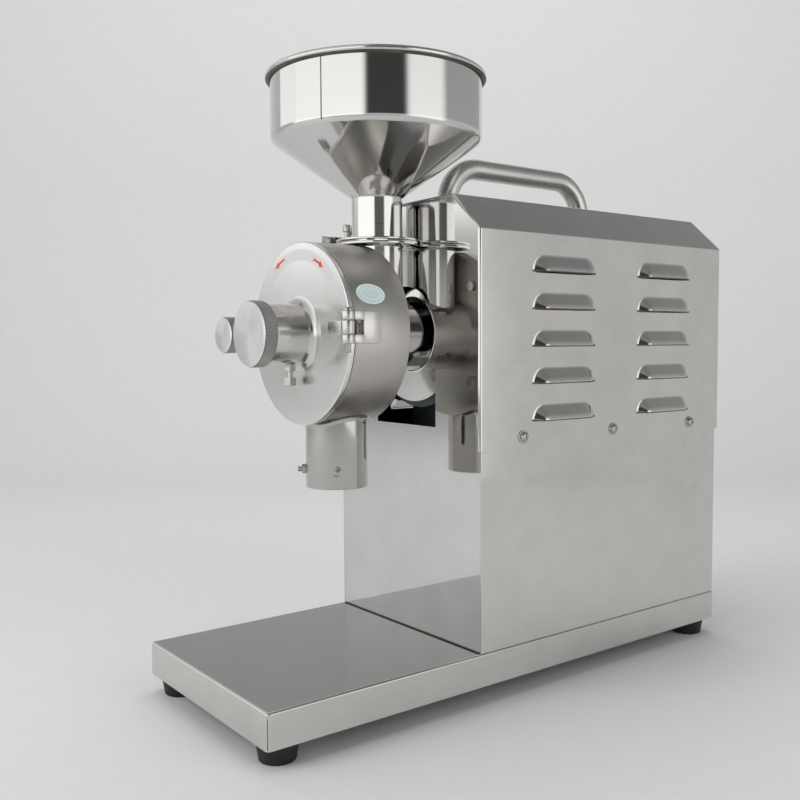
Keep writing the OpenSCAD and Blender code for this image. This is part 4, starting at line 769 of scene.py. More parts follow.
class GRINDER_OT_hood(bpy.types.Operator):
    """Bends the hood's sheet and presses the louvers into both sides"""
    bl_idname = "grinder.hood"
    bl_label = "Hood and louvers"

    def sheet(self):
        """The bent sheet: it runs forward from the rear edge, and its front edge is turned in to a hem."""
        s = sizes()
        front, rear = along("top_hood")
        hem = s.hem / MM
        runs = [(rear, 0)]
        for turn in range(0, 91, 15):
            bent = math.radians(turn)
            runs.append((front + hem * (1 - math.sin(bent)), hem * (1 - math.cos(bent))))
        chains = []
        for depth, inset in runs:
            chains.append(wire("hood_chain", [point(x, depth, z) for x, z in hood_profile(inset)]))
        hood = join("bent_hood", chains)
        edit(hood)
        for (first, _), (second, _) in zip(runs, runs[1:]):
            near = FRONT + first * MM + NEAR
            far = FRONT + second * MM - NEAR
            pick("EDGE", lambda place: far < place.y < near)
            bpy.ops.mesh.bridge_edge_loops()
        tidy()
        face_out(hood, UP)
        apply(hood, "SOLIDIFY", thickness=s.sheet, offset=-1)
        edit(hood)
        round_edges(0.4 * MM, 2, 60)
        return hood

    def slots(self, wall, straight):
        """The openings behind the right side's louvers."""
        half = straight / 2 / MM
        tall = sizes().louver_high / MM - 2
        run = [*arc(half, 0, tall, 0, 90, 10), *arc(-half, 0, tall, 90, 180, 10)]
        slot = plate("louver_slot", [Vector((wall - 4 * MM, y * MM, z * MM)) for y, z in run], RIGHT * 6 * MM)
        slots = join("louver_slots", copies(slot, louver_places()))
        bpy.data.objects.remove(slot)
        return slots

    def scoops(self, wall, straight):
        """The right side's pressed scoops: a section drawn along the sheet and turned round at both ends."""
        half = straight / 2
        scoop = wire("louver_scoop", [Vector((wall + x * MM, half, z * MM)) for x, z in louver_profile()])
        bpy.ops.mesh.select_all(action="SELECT")
        bpy.ops.mesh.extrude_region_move(TRANSFORM_OT_translate={"value": BACK * -straight})
        bpy.ops.mesh.spin(steps=12, angle=math.pi / 2, center=(wall, -half, 0), axis=-RIGHT)
        pick("EDGE", lambda place: place.y > half - NEAR / 10)
        bpy.ops.mesh.spin(steps=12, angle=math.pi / 2, center=(wall, half, 0), axis=RIGHT)
        tidy()
        face_out(scoop, RIGHT)
        apply(scoop, "SOLIDIFY", thickness=sizes().sheet * 0.7, offset=-1)
        smooth(scoop, 40)
        scoops = join("louvers_right", copies(scoop, louver_places()))
        bpy.data.objects.remove(scoop)
        return scoops

    def execute(self, context):
        s = sizes()
        wall = hood_side()
        straight = s.louver_long - 2 * s.louver_high
        hood = self.sheet()
        slots = self.slots(wall, straight)
        for tool in (slots, mirrored(slots, "louver_slots_left")):
            cut(hood, tool)
        even(hood, 24)
        dress(hood, "sheet", "frame", "bright_stainless", "top_hood")
        lips = {place.z for place in louver_places()}

        def painted_lip_shade(place):
            """On a lip, whose sheared edge is darkened as painted shade of the opening under it."""
            return any(lip - MM < place.z < lip + 1.3 * MM for lip in lips)

        right = self.scoops(wall, straight)
        for piece in (right, mirrored(right, "louvers_left")):
            dress(piece, "sheet", "frame", "bright_stainless")
            # Painted shade: the lips take the dark weld finish
            also(piece, "weld", painted_lip_shade)
        return {"FINISHED"}


class GRINDER_OT_panels(bpy.types.Operator):
    """Cuts the front plate with its arched window and folds the side panels"""
    bl_idname = "grinder.panels"
    bl_label = "Front plate and side panels"

    def front(self, inner, top):
        """The front plate: it fills the hood's section, and below it stands between the side panels."""
        s = sizes()
        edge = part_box("front_plate")[1].x / MM
        roof = levels("front_plate")[1]
        slope_wide, slope_high, bend, thick = 38.55, 35.15, 1.5, 2
        foot, ledge = inner - 0.05, top + 0.3
        half = [(foot, 0), (foot, ledge), (edge, ledge), (edge, roof - slope_high), (edge - slope_wide, roof)]
        other = [(-x, z) for x, z in reversed(half)]
        run = rounded([*half, *other], [0, 0, 0, bend, bend, bend, bend, 0, 0, 0], 4)
        front = plate("cut_front_plate", [point(x, 0, z) for x, z in run], BACK * thick * MM)
        axis = (SHAFT.z - TRAY_TOP) / MM
        wide, sill = s.window / MM, axis - s.window_foot / MM
        arch = [*arc(0, axis, wide, 0, 180, 48), (-wide, sill), (wide, sill)]
        cut(front, plate("window", [point(x, -5, z) for x, z in arch], BACK * 12 * MM))
        edit(front)
        round_edges(0.35 * MM, 2, 60)
        reach = inner - 18
        fold = block("plate_fold", point(-reach, 0.4, 0.02), point(reach, 15.9, thick), 0.3)
        return join("cut_front_plate", [front, fold])

    def execute(self, context):
        low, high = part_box("right_side_panel")
        sheet = sizes().sheet / MM
        outer = high.x / MM
        inner = outer - sheet
        top = levels("right_side_panel")[1]
        rear = along("right_side_panel")[1]
        dress(even(self.front(inner, top)), "mirror", "frame", "polished_stainless", "front_plate")
        wall = block("folded_side_right", point(inner, 0, 0.02), point(outer, rear, top), 0.3)
        fold_end = 20
        near = point(low.x / MM, fold_end, 0.02)
        fold = block("side_fold", near, point(inner + 0.5, rear - fold_end, sheet), 0.3)
        right = join("folded_side_right", [wall, fold])
        left = mirrored(right, "folded_side_left")
        dress(even(right), "sheet", "frame", "bright_stainless", "right_side_panel")
        dress(even(left), "sheet", "frame", "bright_stainless", "left_side_panel")
        return {"FINISHED"}


class GRINDER_OT_hood_screws(bpy.types.Operator):
    """Turns the pan-head screws and washers along the hood's lower edge"""
    bl_idname = "grinder.hood_screws"
    bl_label = "Hood screws"

    def execute(self, context):
        low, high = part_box("hood_screws")
        washer, head, shank = 6.5, 4.75, 2.5
        first = Vector((hood_side(), low.y + washer * MM, (low.z + high.z) / 2))
        span = high.y - low.y - 2 * washer * MM
        outline = rounded([(0, -8), (shank, -8), (shank, 0), (washer, 0), (washer, 1), (head, 1), (head, 4),
            (0, 4)], [0, 0, 0, 0.2, 0.4, 0, 2.2, 0], 4)
        screw = turned("pan_screw", outline, first, RIGHT, 40)
        # A cross recess in the head
        for wide, tall in ((0.9, 5.2), (5.2, 0.9)):
            half = Vector((0, wide / 2, tall / 2)) * MM
            cut(screw, block("recess", first + RIGHT * 2.6 * MM - half, first + RIGHT * 6 * MM + half, 0.1))
        smooth(screw)
        others = copies(screw, [BACK * span / 2, BACK * span])
        left = [mirrored(piece, "pan_screw_left") for piece in (screw, *others)]
        dress(screw, "zinc", "frame", "zinc_steel", "hood_screws")
        for piece in (*others, *left):
            dress(piece, "zinc", "frame", "zinc_steel")
        return {"FINISHED"}


class GRINDER_OT_handle(bpy.types.Operator):
    """Bends the handle's tube over the roof"""
    bl_idname = "grinder.handle"
    bl_label = "Handle"

    def execute(self, context):
        s = sizes()
        low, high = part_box("carry_handle")
        radius, bend = s.handle / 2, s.handle_bend
        legs = (low.y + radius, high.y - radius)
        bar = high.z - radius
        rise = UP * (bar - bend - low.z)
        across = BACK * (legs[1] - legs[0] - 2 * bend)
        clear()
        bpy.ops.mesh.primitive_circle_add(vertices=48, radius=radius, location=(0, legs[0], low.z))
        tube = keep("handle_tube")
        edit(tube)
        for run, hub in ((rise, legs[0] + bend), (across, legs[1] - bend)):
            bpy.ops.mesh.extrude_region_move(TRANSFORM_OT_translate={"value": run})
            bpy.ops.mesh.spin(steps=20, angle=math.pi / 2, center=(0, hub, bar - bend), axis=RIGHT)
        bpy.ops.mesh.extrude_region_move(TRANSFORM_OT_translate={"value": -rise})
        bpy.ops.mesh.select_all(action="DESELECT")
        bpy.ops.mesh.select_non_manifold()
        bpy.ops.mesh.fill_holes(sides=0)
        tidy()
        smooth(tube)
        edge = radius / MM
        outline = [(edge - 0.5, 0), (edge + 2.2, 0), (edge - 0.1, 2.4)]
        beads = [ring("handle_weld", outline, (0, y, low.z), UP, 48) for y in legs]
        dress(join("handle_welds", beads), "satin", "frame", "satin_stainless")
        dress(tube, "satin", "frame", "satin_stainless", "carry_handle")
        return {"FINISHED"}


class GRINDER_OT_hopper(bpy.types.Operator):
    """Spins the hopper with its rolled rim, cone and tube"""
    bl_idname = "grinder.hopper"
    bl_label = "Hopper"

    def execute(self, context):
        s = sizes()
        wall, rim, bend = s.hopper_wall / MM, s.rim / 2 / MM, s.hopper_bend / MM
        outer, tube = s.hopper / 2 / MM, s.feed / 2 / MM
        low, top = levels("hopper")
        foot = low + 3
        shoulder = top - s.hopper_high / MM
        neck = shoulder - s.cone_high / MM
        slope = math.atan2(shoulder - neck, outer - tube)
        lift = wall * math.tan((math.pi / 2 - slope) / 2)
        outside = rounded([(tube, foot), (tube, neck), (outer, shoulder), (outer, top - rim - 2)],
            [0, 2, bend, 0], 10)
        roll = arc(outer + rim - wall, top - rim, rim, -120, 180, 22)
        inside = rounded([(outer - wall, top - rim - 0.5), (outer - wall, shoulder + lift),
            (tube - wall, neck + lift), (tube - wall, foot)], [0, bend - wall, 2 + wall, 0], 10)
        hopper = ring("spun_hopper", [*outside, *roll, *inside], FEED, UP, 144, 38)
        dress(hopper, "spun", "frame", "polished_stainless", "hopper")
        # The roll's underside takes the dark weld finish as painted shade, and the wall's own seam faces the front
        joint = TRAY_TOP + (top - 1.55 * rim) * MM
        reach = (outer + 0.1) * MM
        also(hopper, "weld", lambda place: place.z < joint and (place - FEED).xy.length > reach)
        turn, half = -64.1, 0.3
        run = [*arc(0, 0, outer + 0.12, turn - half, turn + half, 2),
            *arc(0, 0, outer - 0.3, turn + half, turn - half, 2)]
        places = [point(x, FEED_Y + y, shoulder + 1) for x, y in run]
        seam = plate("hopper_seam", places, UP * (top - shoulder - 1 - 2 * rim) * MM)
        dress(seam, "weld", "frame", "polished_stainless")
        return {"FINISHED"}


def flange_outline(height):
    """The flange round the feed tube: a disc cut straight beside the plate, with a tongue to the left."""
    radius = sizes().flange / MM
    reach, half = 64, 20
    open_at = math.degrees(math.asin((-1 - FEED_Y) / radius))
    join_at = math.degrees(math.asin(half / radius))
    run = [(-reach, half), (-reach, -half)]
    run += arc(0, 0, radius, 180 + join_at, 360 + open_at, 48)
    run += arc(0, 0, radius, 180 - open_at, 180 - join_at, 6)
    return [point(x, FEED_Y + y, height) for x, y in run]


class GRINDER_OT_feed_gate(bpy.types.Operator):
    """Cuts the flanges, the gate blade with its tab and the lock screw"""
    bl_idname = "grinder.feed_gate"
    bl_label = "Feed gate"

    def flanges(self, tube, seat):
        """Both flanges; the upper one stands on two rails and a stop, which leave the blade its slot."""
        s = sizes()
        lower = plate("chute_flange", flange_outline(seat - 2.5), UP * 2.5 * MM, 0.5)
        upper = plate("hopper_flange", flange_outline(seat + 1.8), UP * 2.2 * MM, 0.5)
        rails = []
        for left, right, front, rear in ((-24, 24, -33, -25.5), (-24, 24, 25.5, 33), (26.6, 32, -25, 25)):
            near = point(left, FEED_Y + front, seat)
            rails.append(block("flange_rail", near, point(right, FEED_Y + rear, seat + 1.9), 0.3))
        upper = join("hopper_flange", [upper, *rails])
        for piece, wall in ((lower, s.chute_wall / MM), (upper, s.hopper_wall / MM)):
            bore(piece, tube - wall, seat - 9, seat + 9, FEED, UP)
            dress(smooth(piece), "mirror", "frame", "polished_stainless")

    def chute(self, tube, seat):
        """The tube below the gate, cut to the neck, and the weld beads where tubes meet flanges."""
        s = sizes()
        inside = tube - s.chute_wall / MM
        bottom = levels("feed_chute")[0] - 1.5
        outline = [(tube, bottom), (tube, seat - 2.4), (inside, seat - 2.4), (inside, bottom)]
        chute = ring("chute_tube", outline, FEED, UP)
        bore(chute, s.neck / 2 / MM - 0.4, -90, 20, AXIS_FOOT, BACK)
        dress(smooth(chute), "spun", "frame", "polished_stainless", "feed_chute")
        beads = []
        for level, rise in ((seat + 4, 1.5), (seat - 2.5, -1.5)):
            outline = [(tube - 0.3, level), (tube + 1.3, level), (tube - 0.1, level + rise)]
            beads.append(ring("tube_weld", outline, FEED, UP))
        dress(join("tube_welds", beads), "satin", "frame", "polished_stainless")

    def blade(self):
        """The gate's blade, with its tongue and the tab turned up at the end."""
        low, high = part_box("feed_gate")
        thick, half, root = 1.5 * MM, 18.5 * MM, FEED.x - 41 * MM
        front, rear = FEED.y - half, FEED.y + half
        top = low.z + thick
        blade = block("gate_plate", Vector((root, low.y, low.z)), Vector((high.x, high.y, top)), 0.3)
        tongue = block("gate_tongue", Vector((low.x, front, low.z)), Vector((root + MM, rear, top)), 0.3)
        tab = block("gate_tab", Vector((low.x, front, low.z)), Vector((low.x + thick, rear, high.z)), 0.5, 3)
        dress(join("gate_blade", [blade, tongue, tab]), "sheet", "gate", "bright_stainless", "feed_gate")

    def screw(self):
        """The slotted lock screw."""
        low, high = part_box("gate_lock_screw")
        tall = (high.z - low.z) / MM
        shank, head = 2.5, 4.5
        under = tall - 7.5
        outline = rounded([(0, 0), (shank, 0), (shank, under), (head, under), (head, tall), (0, tall)],
            [0, 0.5, 0, 0.5, 1.2, 0], 3)
        screw = turned("gate_screw", outline, (GATE_LOCK.x, GATE_LOCK.y, low.z), UP, 40)
        top = Vector((GATE_LOCK.x, GATE_LOCK.y, high.z))
        slot = Vector((6, 0.6, 0)) * MM
        cut(screw, block("slot", top - slot - UP * 2 * MM, top + slot + UP * MM, 0.1))
        dress(smooth(screw), "zinc", "gate_lock", "zinc_steel", "gate_lock_screw")

    def execute(self, context):
        tube = sizes().feed / 2 / MM
        seat = levels("feed_chute")[1]
        self.flanges(tube, seat)
        self.chute(tube, seat)
        self.blade()
        self.screw()
        return {"FINISHED"}


def spout_foot():
    """Where the spout's axis meets its lower edge."""
    foot = middle("discharge_spout")
    foot.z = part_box("discharge_spout")[0].z
    return foot


class GRINDER_OT_drum(bpy.types.Operator):
    """Turns the grinding drum and opens its outlet"""
    bl_idname = "grinder.drum"
    bl_label = "Drum"

    def execute(self, context):
        s = sizes()
        front, rear = along("grinding_drum")
        outer = s.drum / 2 / MM
        inner = outer - s.drum_wall / MM
        eye = (s.neck / 2 - s.neck_wall) / MM
        seat = rear - 6
        # The groove that holds the rim seal
        near, far, floor = outer - 3.75, outer - 1.25, front + 2.35
        corners = [(outer, front), (outer, rear), (eye, rear), (eye, seat), (inner, seat), (inner, front),
            (near, front), (near, floor), (far, floor), (far, front)]
        outline = rounded(corners, [0.5, 1.2, 0, 0, 1.5, 0.3, 0, 0, 0, 0], 4)
        drum = ring("turned_drum", outline, AXIS_FOOT, BACK, 160)
        bore(drum, (s.spout / 2 - s.spout_wall) / MM, 0, 70, spout_foot() + UP * 20 * MM, UP)
        dress(smooth(drum), "drum", "frame", "satin_stainless", "grinding_drum")
        return {"FINISHED"}


def lid_face():
    """The lid's front face, in millimetres from the front plate's."""
    return along("chamber_lid")[1] - sizes().lid_thick / MM


class GRINDER_OT_lid(bpy.types.Operator):
    """Turns the lid with its sleeve and adds the clamp lug"""
    bl_idname = "grinder.lid"
    bl_label = "Lid"

    def execute(self, context):
        s = sizes()
        front, rear = along("chamber_lid")
        face = lid_face()
        outer, sleeve = s.drum / 2 / MM, s.sleeve / 2 / MM
        eye, pocket = s.spindle / 2 / MM + 0.05, 20
        mouth = along("adjusting_knob")[1] + 0.3
        corners = [(eye, rear), (outer, rear), (outer, face), (sleeve, face), (sleeve, front),
            (pocket, front), (pocket, mouth), (eye, mouth)]
        outline = rounded(corners, [0.3, 0.8, 1.5, s.fillet / MM, 0.6, 0.4, 0, 0], 8)
        lid = ring("turned_lid", outline, AXIS_FOOT, BACK, 160, 30)
        dress(lid, "lid", "door", "satin_stainless", "chamber_lid")
        also(lid, "sleeve", lambda place: place.y < FRONT + (face - 0.05) * MM)
        reach = (CLAMP.x - SHAFT.x) / MM
        half, root = 13, 6 - outer
        run = [(reach, half), *arc(reach, 0, half, 90, 270, 20)[1:], (root, -half), (root, half)]
        # The lug's face lies just under the lid's, so that no two faces fall together
        foot = AXIS_FOOT + BACK * (face + 0.1) * MM
        lug = plate("clamp_lug", [foot + Vector((x, 0, z)) * MM for x, z in run], BACK * 4.8 * MM, 1.0, 3)
        bore(lug, 5.3, face - 5, face + 9, CLAMP_FOOT, BACK, 48)
        dress(smooth(lug), "satin", "door", "satin_stainless")
        return {"FINISHED"}


class GRINDER_OT_hinge(bpy.types.Operator):
    """Mills the hinge bracket and leaf and fits the headed pin"""
    bl_idname = "grinder.hinge"
    bl_label = "Hinge"

    def knuckle(self, name, radius, bottom, top):
        """One barrel of the hinge, with the pin's hole through it."""
        hole, edge = 2.55, radius / MM
        tall = (top - bottom) / MM
        outline = rounded([(hole, 0), (edge, 0), (edge, tall), (hole, tall)], [0, 0.7, 0.7, 0], 3)
        return ring(name, outline, (HINGE.x, HINGE.y, bottom), UP, 48)

    def pin(self):
        """The headed pin."""
        low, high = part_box("hinge_pin")
        tall = (high.z - low.z) / MM
        shank, cap, under = 2.5, 5, tall - 3
        outline = rounded([(0, 0), (shank, 0), (shank, under), (cap, under), (cap - 0.4, tall), (0, tall)],
            [0, 0.8, 0, 0.4, 1.4, 0], 4)
        pin = turned("headed_pin", outline, (HINGE.x, HINGE.y, low.z), UP, 40)
        dress(pin, "zinc", "frame", "zinc_steel", "hinge_pin")

    def execute(self, context):
        low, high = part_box("hinge_bracket")
        leaf_low, leaf_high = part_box("lid_hinge_leaf")
        radius = leaf_high.x - HINGE.x
        front = low.y + 2 * radius + 6.7 * MM
        parts = [block("bracket_body", Vector((SHAFT.x + 70 * MM, front, low.z)), high, 1)]
        gap = 0.3 * MM
        for bottom, top in ((low.z, leaf_low.z - gap), (leaf_high.z + gap, high.z)):
            parts.append(self.knuckle("bracket_knuckle", radius, bottom, top))
            near = Vector((HINGE.x - radius + MM, HINGE.y + 3.4 * MM, bottom))
            parts.append(block("bracket_arm", near, Vector((HINGE.x + radius, front + 2 * MM, top)), 0.6))
        bracket = join("hinge_bracket_milled", parts)
        bore(bracket, sizes().drum / 2 / MM, -140, 0, AXIS_FOOT, BACK, 160)
        dress(smooth(bracket), "satin", "frame", "satin_stainless", "hinge_bracket")
        barrel = self.knuckle("leaf_knuckle", radius, leaf_low.z, leaf_high.z)
        near = Vector((leaf_low.x, leaf_low.y + 1.5 * MM, leaf_low.z))
        far = Vector((HINGE.x - 3 * MM, FRONT + (lid_face() - 0.02) * MM, leaf_high.z))
        arm = block("leaf_arm", near, far, 1.2, 3)
        dress(join("hinge_leaf_milled", [barrel, arm]), "satin", "door", "satin_stainless", "lid_hinge_leaf")
        self.pin()
        return {"FINISHED"}


def knurled(name, radius, front, rear, extra, centre):
    """A knob with a diamond knurl: every other point of a fine net stands out."""
    s = sizes()
    edge = 1.2
    wide = rear - front - 2 * edge
    rows = max(4, round(wide * MM / s.knurl))
    count = 2 * round(math.pi * radius * MM / s.knurl)
    step = wide / rows
    rings = [(radius, front + edge + step * i) for i in range(rows + 1)]
    chamfer = rounded([(0, front), (radius - edge, front), (radius, front + edge)], [0, 0.5, 0], 3)[1:-1]
    outline = [(0, front), *chamfer, *rings, (radius - edge, rear), *extra]
    piece = turned(name, outline, centre, BACK, count, 20)
    edit(piece)

    def on_side(place):
        return (place - centre).xz.length > (radius - 0.05) * MM

    def stands_out(place):
        """The net's odd points, on the round side only."""
        row = ((place.y - centre.y) / MM - front - edge) / step
        if not on_side(place) or not 0.5 < row < rows - 0.5:
            return False
        flat = (place - centre).xz
        turn = round(math.atan2(flat.y, flat.x) / (2 * math.pi) * count)
        return (turn + round(row)) % 2 == 1

    pick("VERT", stands_out)
    bpy.ops.transform.shrink_fatten(value=s.knurl_high)
    pick("FACE", on_side)
    bpy.ops.mesh.quads_convert_to_tris(quad_method="SHORTEST_DIAGONAL")
    tidy()
    return smooth(piece, 14)


class GRINDER_OT_knobs(bpy.types.Operator):
    """Turns and knurls the adjusting knob and the clamp knob, with its screw, collar and boss"""
    bl_idname = "grinder.knobs"
    bl_label = "Knobs and clamp"

    def execute(self, context):
        s = sizes()
        grip = 15
        front, rear = along("adjusting_knob")
        back = front + grip
        hub, spindle = 19.95, s.spindle / 2 / MM + 0.05
        radius = s.knob / 2 / MM - s.knurl_high / MM
        extra = [(hub, back), (hub, rear), (spindle, rear), (spindle, front + 4), (0, front + 4)]
        knob = knurled("knurled_knob", radius, front, back, extra, AXIS_FOOT)
        dress(knob, "knob", "adjuster", "satin_stainless", "adjusting_knob")
        also(knob, "knob_knurl", lambda place: (place - SHAFT).xz.length > (radius - 0.4) * MM)
        front, tip = along("clamp_knob")
        head = front + grip
        neck, screw, point_long = 9, 5, 0.8
        shank = head + 9
        small = s.clamp_knob / 2 / MM - s.knurl_high / MM
        extra = [(neck, head), (neck, shank), (screw, shank), (screw, tip - point_long),
            (screw - point_long, tip), (0, tip)]
        knob = knurled("knurled_clamp_knob", small, front, head, extra, CLAMP_FOOT)
        dress(knob, "clamp", "clamp_screw", "satin_stainless", "clamp_knob")
        also(knob, "clamp_knurl", lambda place: (place - CLAMP).xz.length > (small - 0.4) * MM)
        front, rear = along("clamp_collar")
        hole = screw + 0.05
        outline = rounded([(hole, front), (neck, front), (neck, rear), (hole, rear)], [0, 0.5, 0.5, 0], 3)
        collar = ring("turned_collar", outline, CLAMP_FOOT, BACK, 48)
        dress(collar, "clamp", "clamp_slide", "satin_stainless", "clamp_collar")
        front, rear = along("clamp_boss")
        hole, outer, floor = 5.8, 10.8, front + 15
        outline = rounded([(hole, front), (outer, front), (outer, rear), (0, rear), (0, floor),
            (hole, floor)], [0.3, 1, 1.5, 0, 0, 0], 4)
        boss = ring("turned_boss", outline, CLAMP_FOOT, BACK, 64)
        half = 8.1 * MM
        near = Vector((CLAMP.x + 8 * MM, FRONT + (front + 0.5) * MM, CLAMP.z - half))
        far = Vector((SHAFT.x - s.drum / 2 + 4 * MM, FRONT + (rear - 0.5) * MM, CLAMP.z + half))
        web = block("boss_web", near, far, 0.8)
        dress(join("clamp_boss_turned", [boss, web]), "satin", "frame", "satin_stainless", "clamp_boss")
        return {"FINISHED"}


class GRINDER_OT_hub_lock(bpy.types.Operator):
    """Makes the lock screw and its jam nut under the sleeve"""
    bl_idname = "grinder.hub_lock"
    bl_label = "Hub lock"

    def execute(self, context):
        low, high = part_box("hub_lock_screw")
        nut_low, nut_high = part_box("hub_lock_nut")
        seat = Vector((HUB_LOCK.x, HUB_LOCK.y, nut_high.z))
        foot = Vector((HUB_LOCK.x, HUB_LOCK.y, low.z))
        nut = hexagon("jam_nut", seat, -UP, 10.2, (nut_high.z - nut_low.z) / MM - 0.5)
        bore(nut, 3.05, -9, 3, seat, UP, 32)
        dress(smooth(nut, 20), "zinc", "door", "zinc_steel", "hub_lock_nut")
        head = hexagon("lock_head", foot + UP * 8 * MM, -UP, 11.1, 7.4)
        tall = (high.z - low.z) / MM
        outline = [(0, 7.5), (3, 7.5), (3, tall - 0.8), (2.3, tall), (0, tall)]
        shank = turned("lock_shank", outline, foot, UP, 32)
        dress(join("lock_screw", [head, shank]), "zinc", "hub_lock", "zinc_steel", "hub_lock_screw")
        return {"FINISHED"}


class GRINDER_OT_neck(bpy.types.Operator):
    """Turns the neck between the drum and the motor, with its flange"""
    bl_idname = "grinder.neck"
    bl_label = "Neck"

    def execute(self, context):
        s = sizes()
        front, rear = along("drive_neck")
        face = rear - 8
        outer = s.neck / 2 / MM
        inner = outer - s.neck_wall / MM
        flange = (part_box("drive_neck")[1].x - SHAFT.x) / MM
        eye, seat, floor = 13, 20, face - 14
        corners = [(inner, front), (outer, front), (outer, face), (flange, face), (flange, rear), (eye, rear),
            (eye, face), (seat, face), (seat, floor), (inner, floor)]
        outline = rounded(corners, [0.3, 0.3, 3, 1, 0.6, 0, 0, 0, 0, 0], 5)
        neck = ring("turned_neck", outline, AXIS_FOOT, BACK, 128)
        # Open to the chute, from the shaft up
        top = (FEED.x, FEED.y, SHAFT.z + 40 * MM)
        bore(neck, (s.feed / 2 - s.chute_wall) / MM, -40, 60, top, UP, 64)
        dress(smooth(neck), "neck", "frame", "polished_stainless", "drive_neck")
        return {"FINISHED"}


class GRINDER_OT_spout(bpy.types.Operator):
    """Cuts the spout to the drum, with its ground weld, and fits its screws and nuts"""
    bl_idname = "grinder.spout"
    bl_label = "Spout"

    def fillet(self, axis):
        """The weld round the saddle, ground to a hollow fillet: a ring laid on both round surfaces."""
        s = sizes()
        pipe = s.spout / 2
        front, rear = along("grinding_drum")
        sides = 8

        def on_drum(radius, turn):
            """A place on the drum, at a distance from the spout's axis."""
            x = axis.x + radius * math.cos(turn)
            y = axis.y + radius * math.sin(turn)
            y = min(max(y, FRONT + (front + 0.3) * MM), FRONT + (rear - 1.4) * MM)
            return Vector((x, y, SHAFT.z - math.sqrt((s.drum / 2) ** 2 - x ** 2)))

        clear()
        bpy.ops.mesh.primitive_torus_add(major_radius=pipe, minor_radius=s.spout_fillet, major_segments=112,
            minor_segments=sides, location=axis)
        bead = keep("spout_weld")
        for vert in bead.data.vertices:
            flat = (vert.co - axis).xy
            turn = math.atan2(flat.y, flat.x)
            step = round(math.atan2(vert.co.z - axis.z, flat.length - pipe) / (2 * math.pi) * sides) % sides
            corner = on_drum(pipe, turn)
            low = corner - UP * s.spout_fillet
            far = on_drum(pipe + s.spout_fillet, turn)
            inward = (axis - corner).xy.normalized().to_3d() * 0.6 * MM
            if step <= 4:
                share = step / 4
                place = (1 - share) ** 2 * low + 2 * share * (1 - share) * corner + share ** 2 * far
            else:
                place = (far + UP * 0.5 * MM, corner + inward + UP * 0.5 * MM, low + inward)[step - 5]
            vert.co = place
        edit(bead)
        tidy()
        return smooth(bead, 60)

    def execute(self, context):
        s = sizes()
        low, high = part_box("discharge_spout")
        axis = spout_foot()
        outer = s.spout / 2 / MM
        inner = outer - s.spout_wall / MM
        top = (high.z - low.z) / MM + 1
        outline = rounded([(outer, 0), (outer, top), (inner, top), (inner, 0)], [0.5, 0, 0, 0.5], 3)
        spout = ring("outlet_spout", outline, axis, UP, 112)
        bore(spout, s.drum / 2 / MM - 0.4, -170, 20, AXIS_FOOT, BACK, 160)
        dress(smooth(spout), "spun_spout", "frame", "polished_stainless", "discharge_spout")
        dress(self.fillet(axis), "spun_spout", "frame", "polished_stainless")
        stud = rounded([(0, 2), (2.5, 2), (2.5, 8), (0, 8)], [0, 0, 0.7, 0], 3)
        head = rounded([(0, -3.6), (4, -3.6), (4, -2.1), (0, -2.1)], [0, 0.8, 0, 0], 3)
        made = []
        for angle in (-33, -123):
            out = Vector((*polar(1, angle), 0))
            foot = axis + UP * s.spout_screw + out * (outer + 0.05) * MM
            made.append(hexagon("spout_nut", foot, out, 8, 3.6))
            made.append(turned("spout_stud", stud, foot, out, 24))
            made.append(turned("spout_head", head, foot, out, 32))
        dress(join("spout_fixings", made), "zinc", "frame", "zinc_steel", "spout_screws")
        return {"FINISHED"}


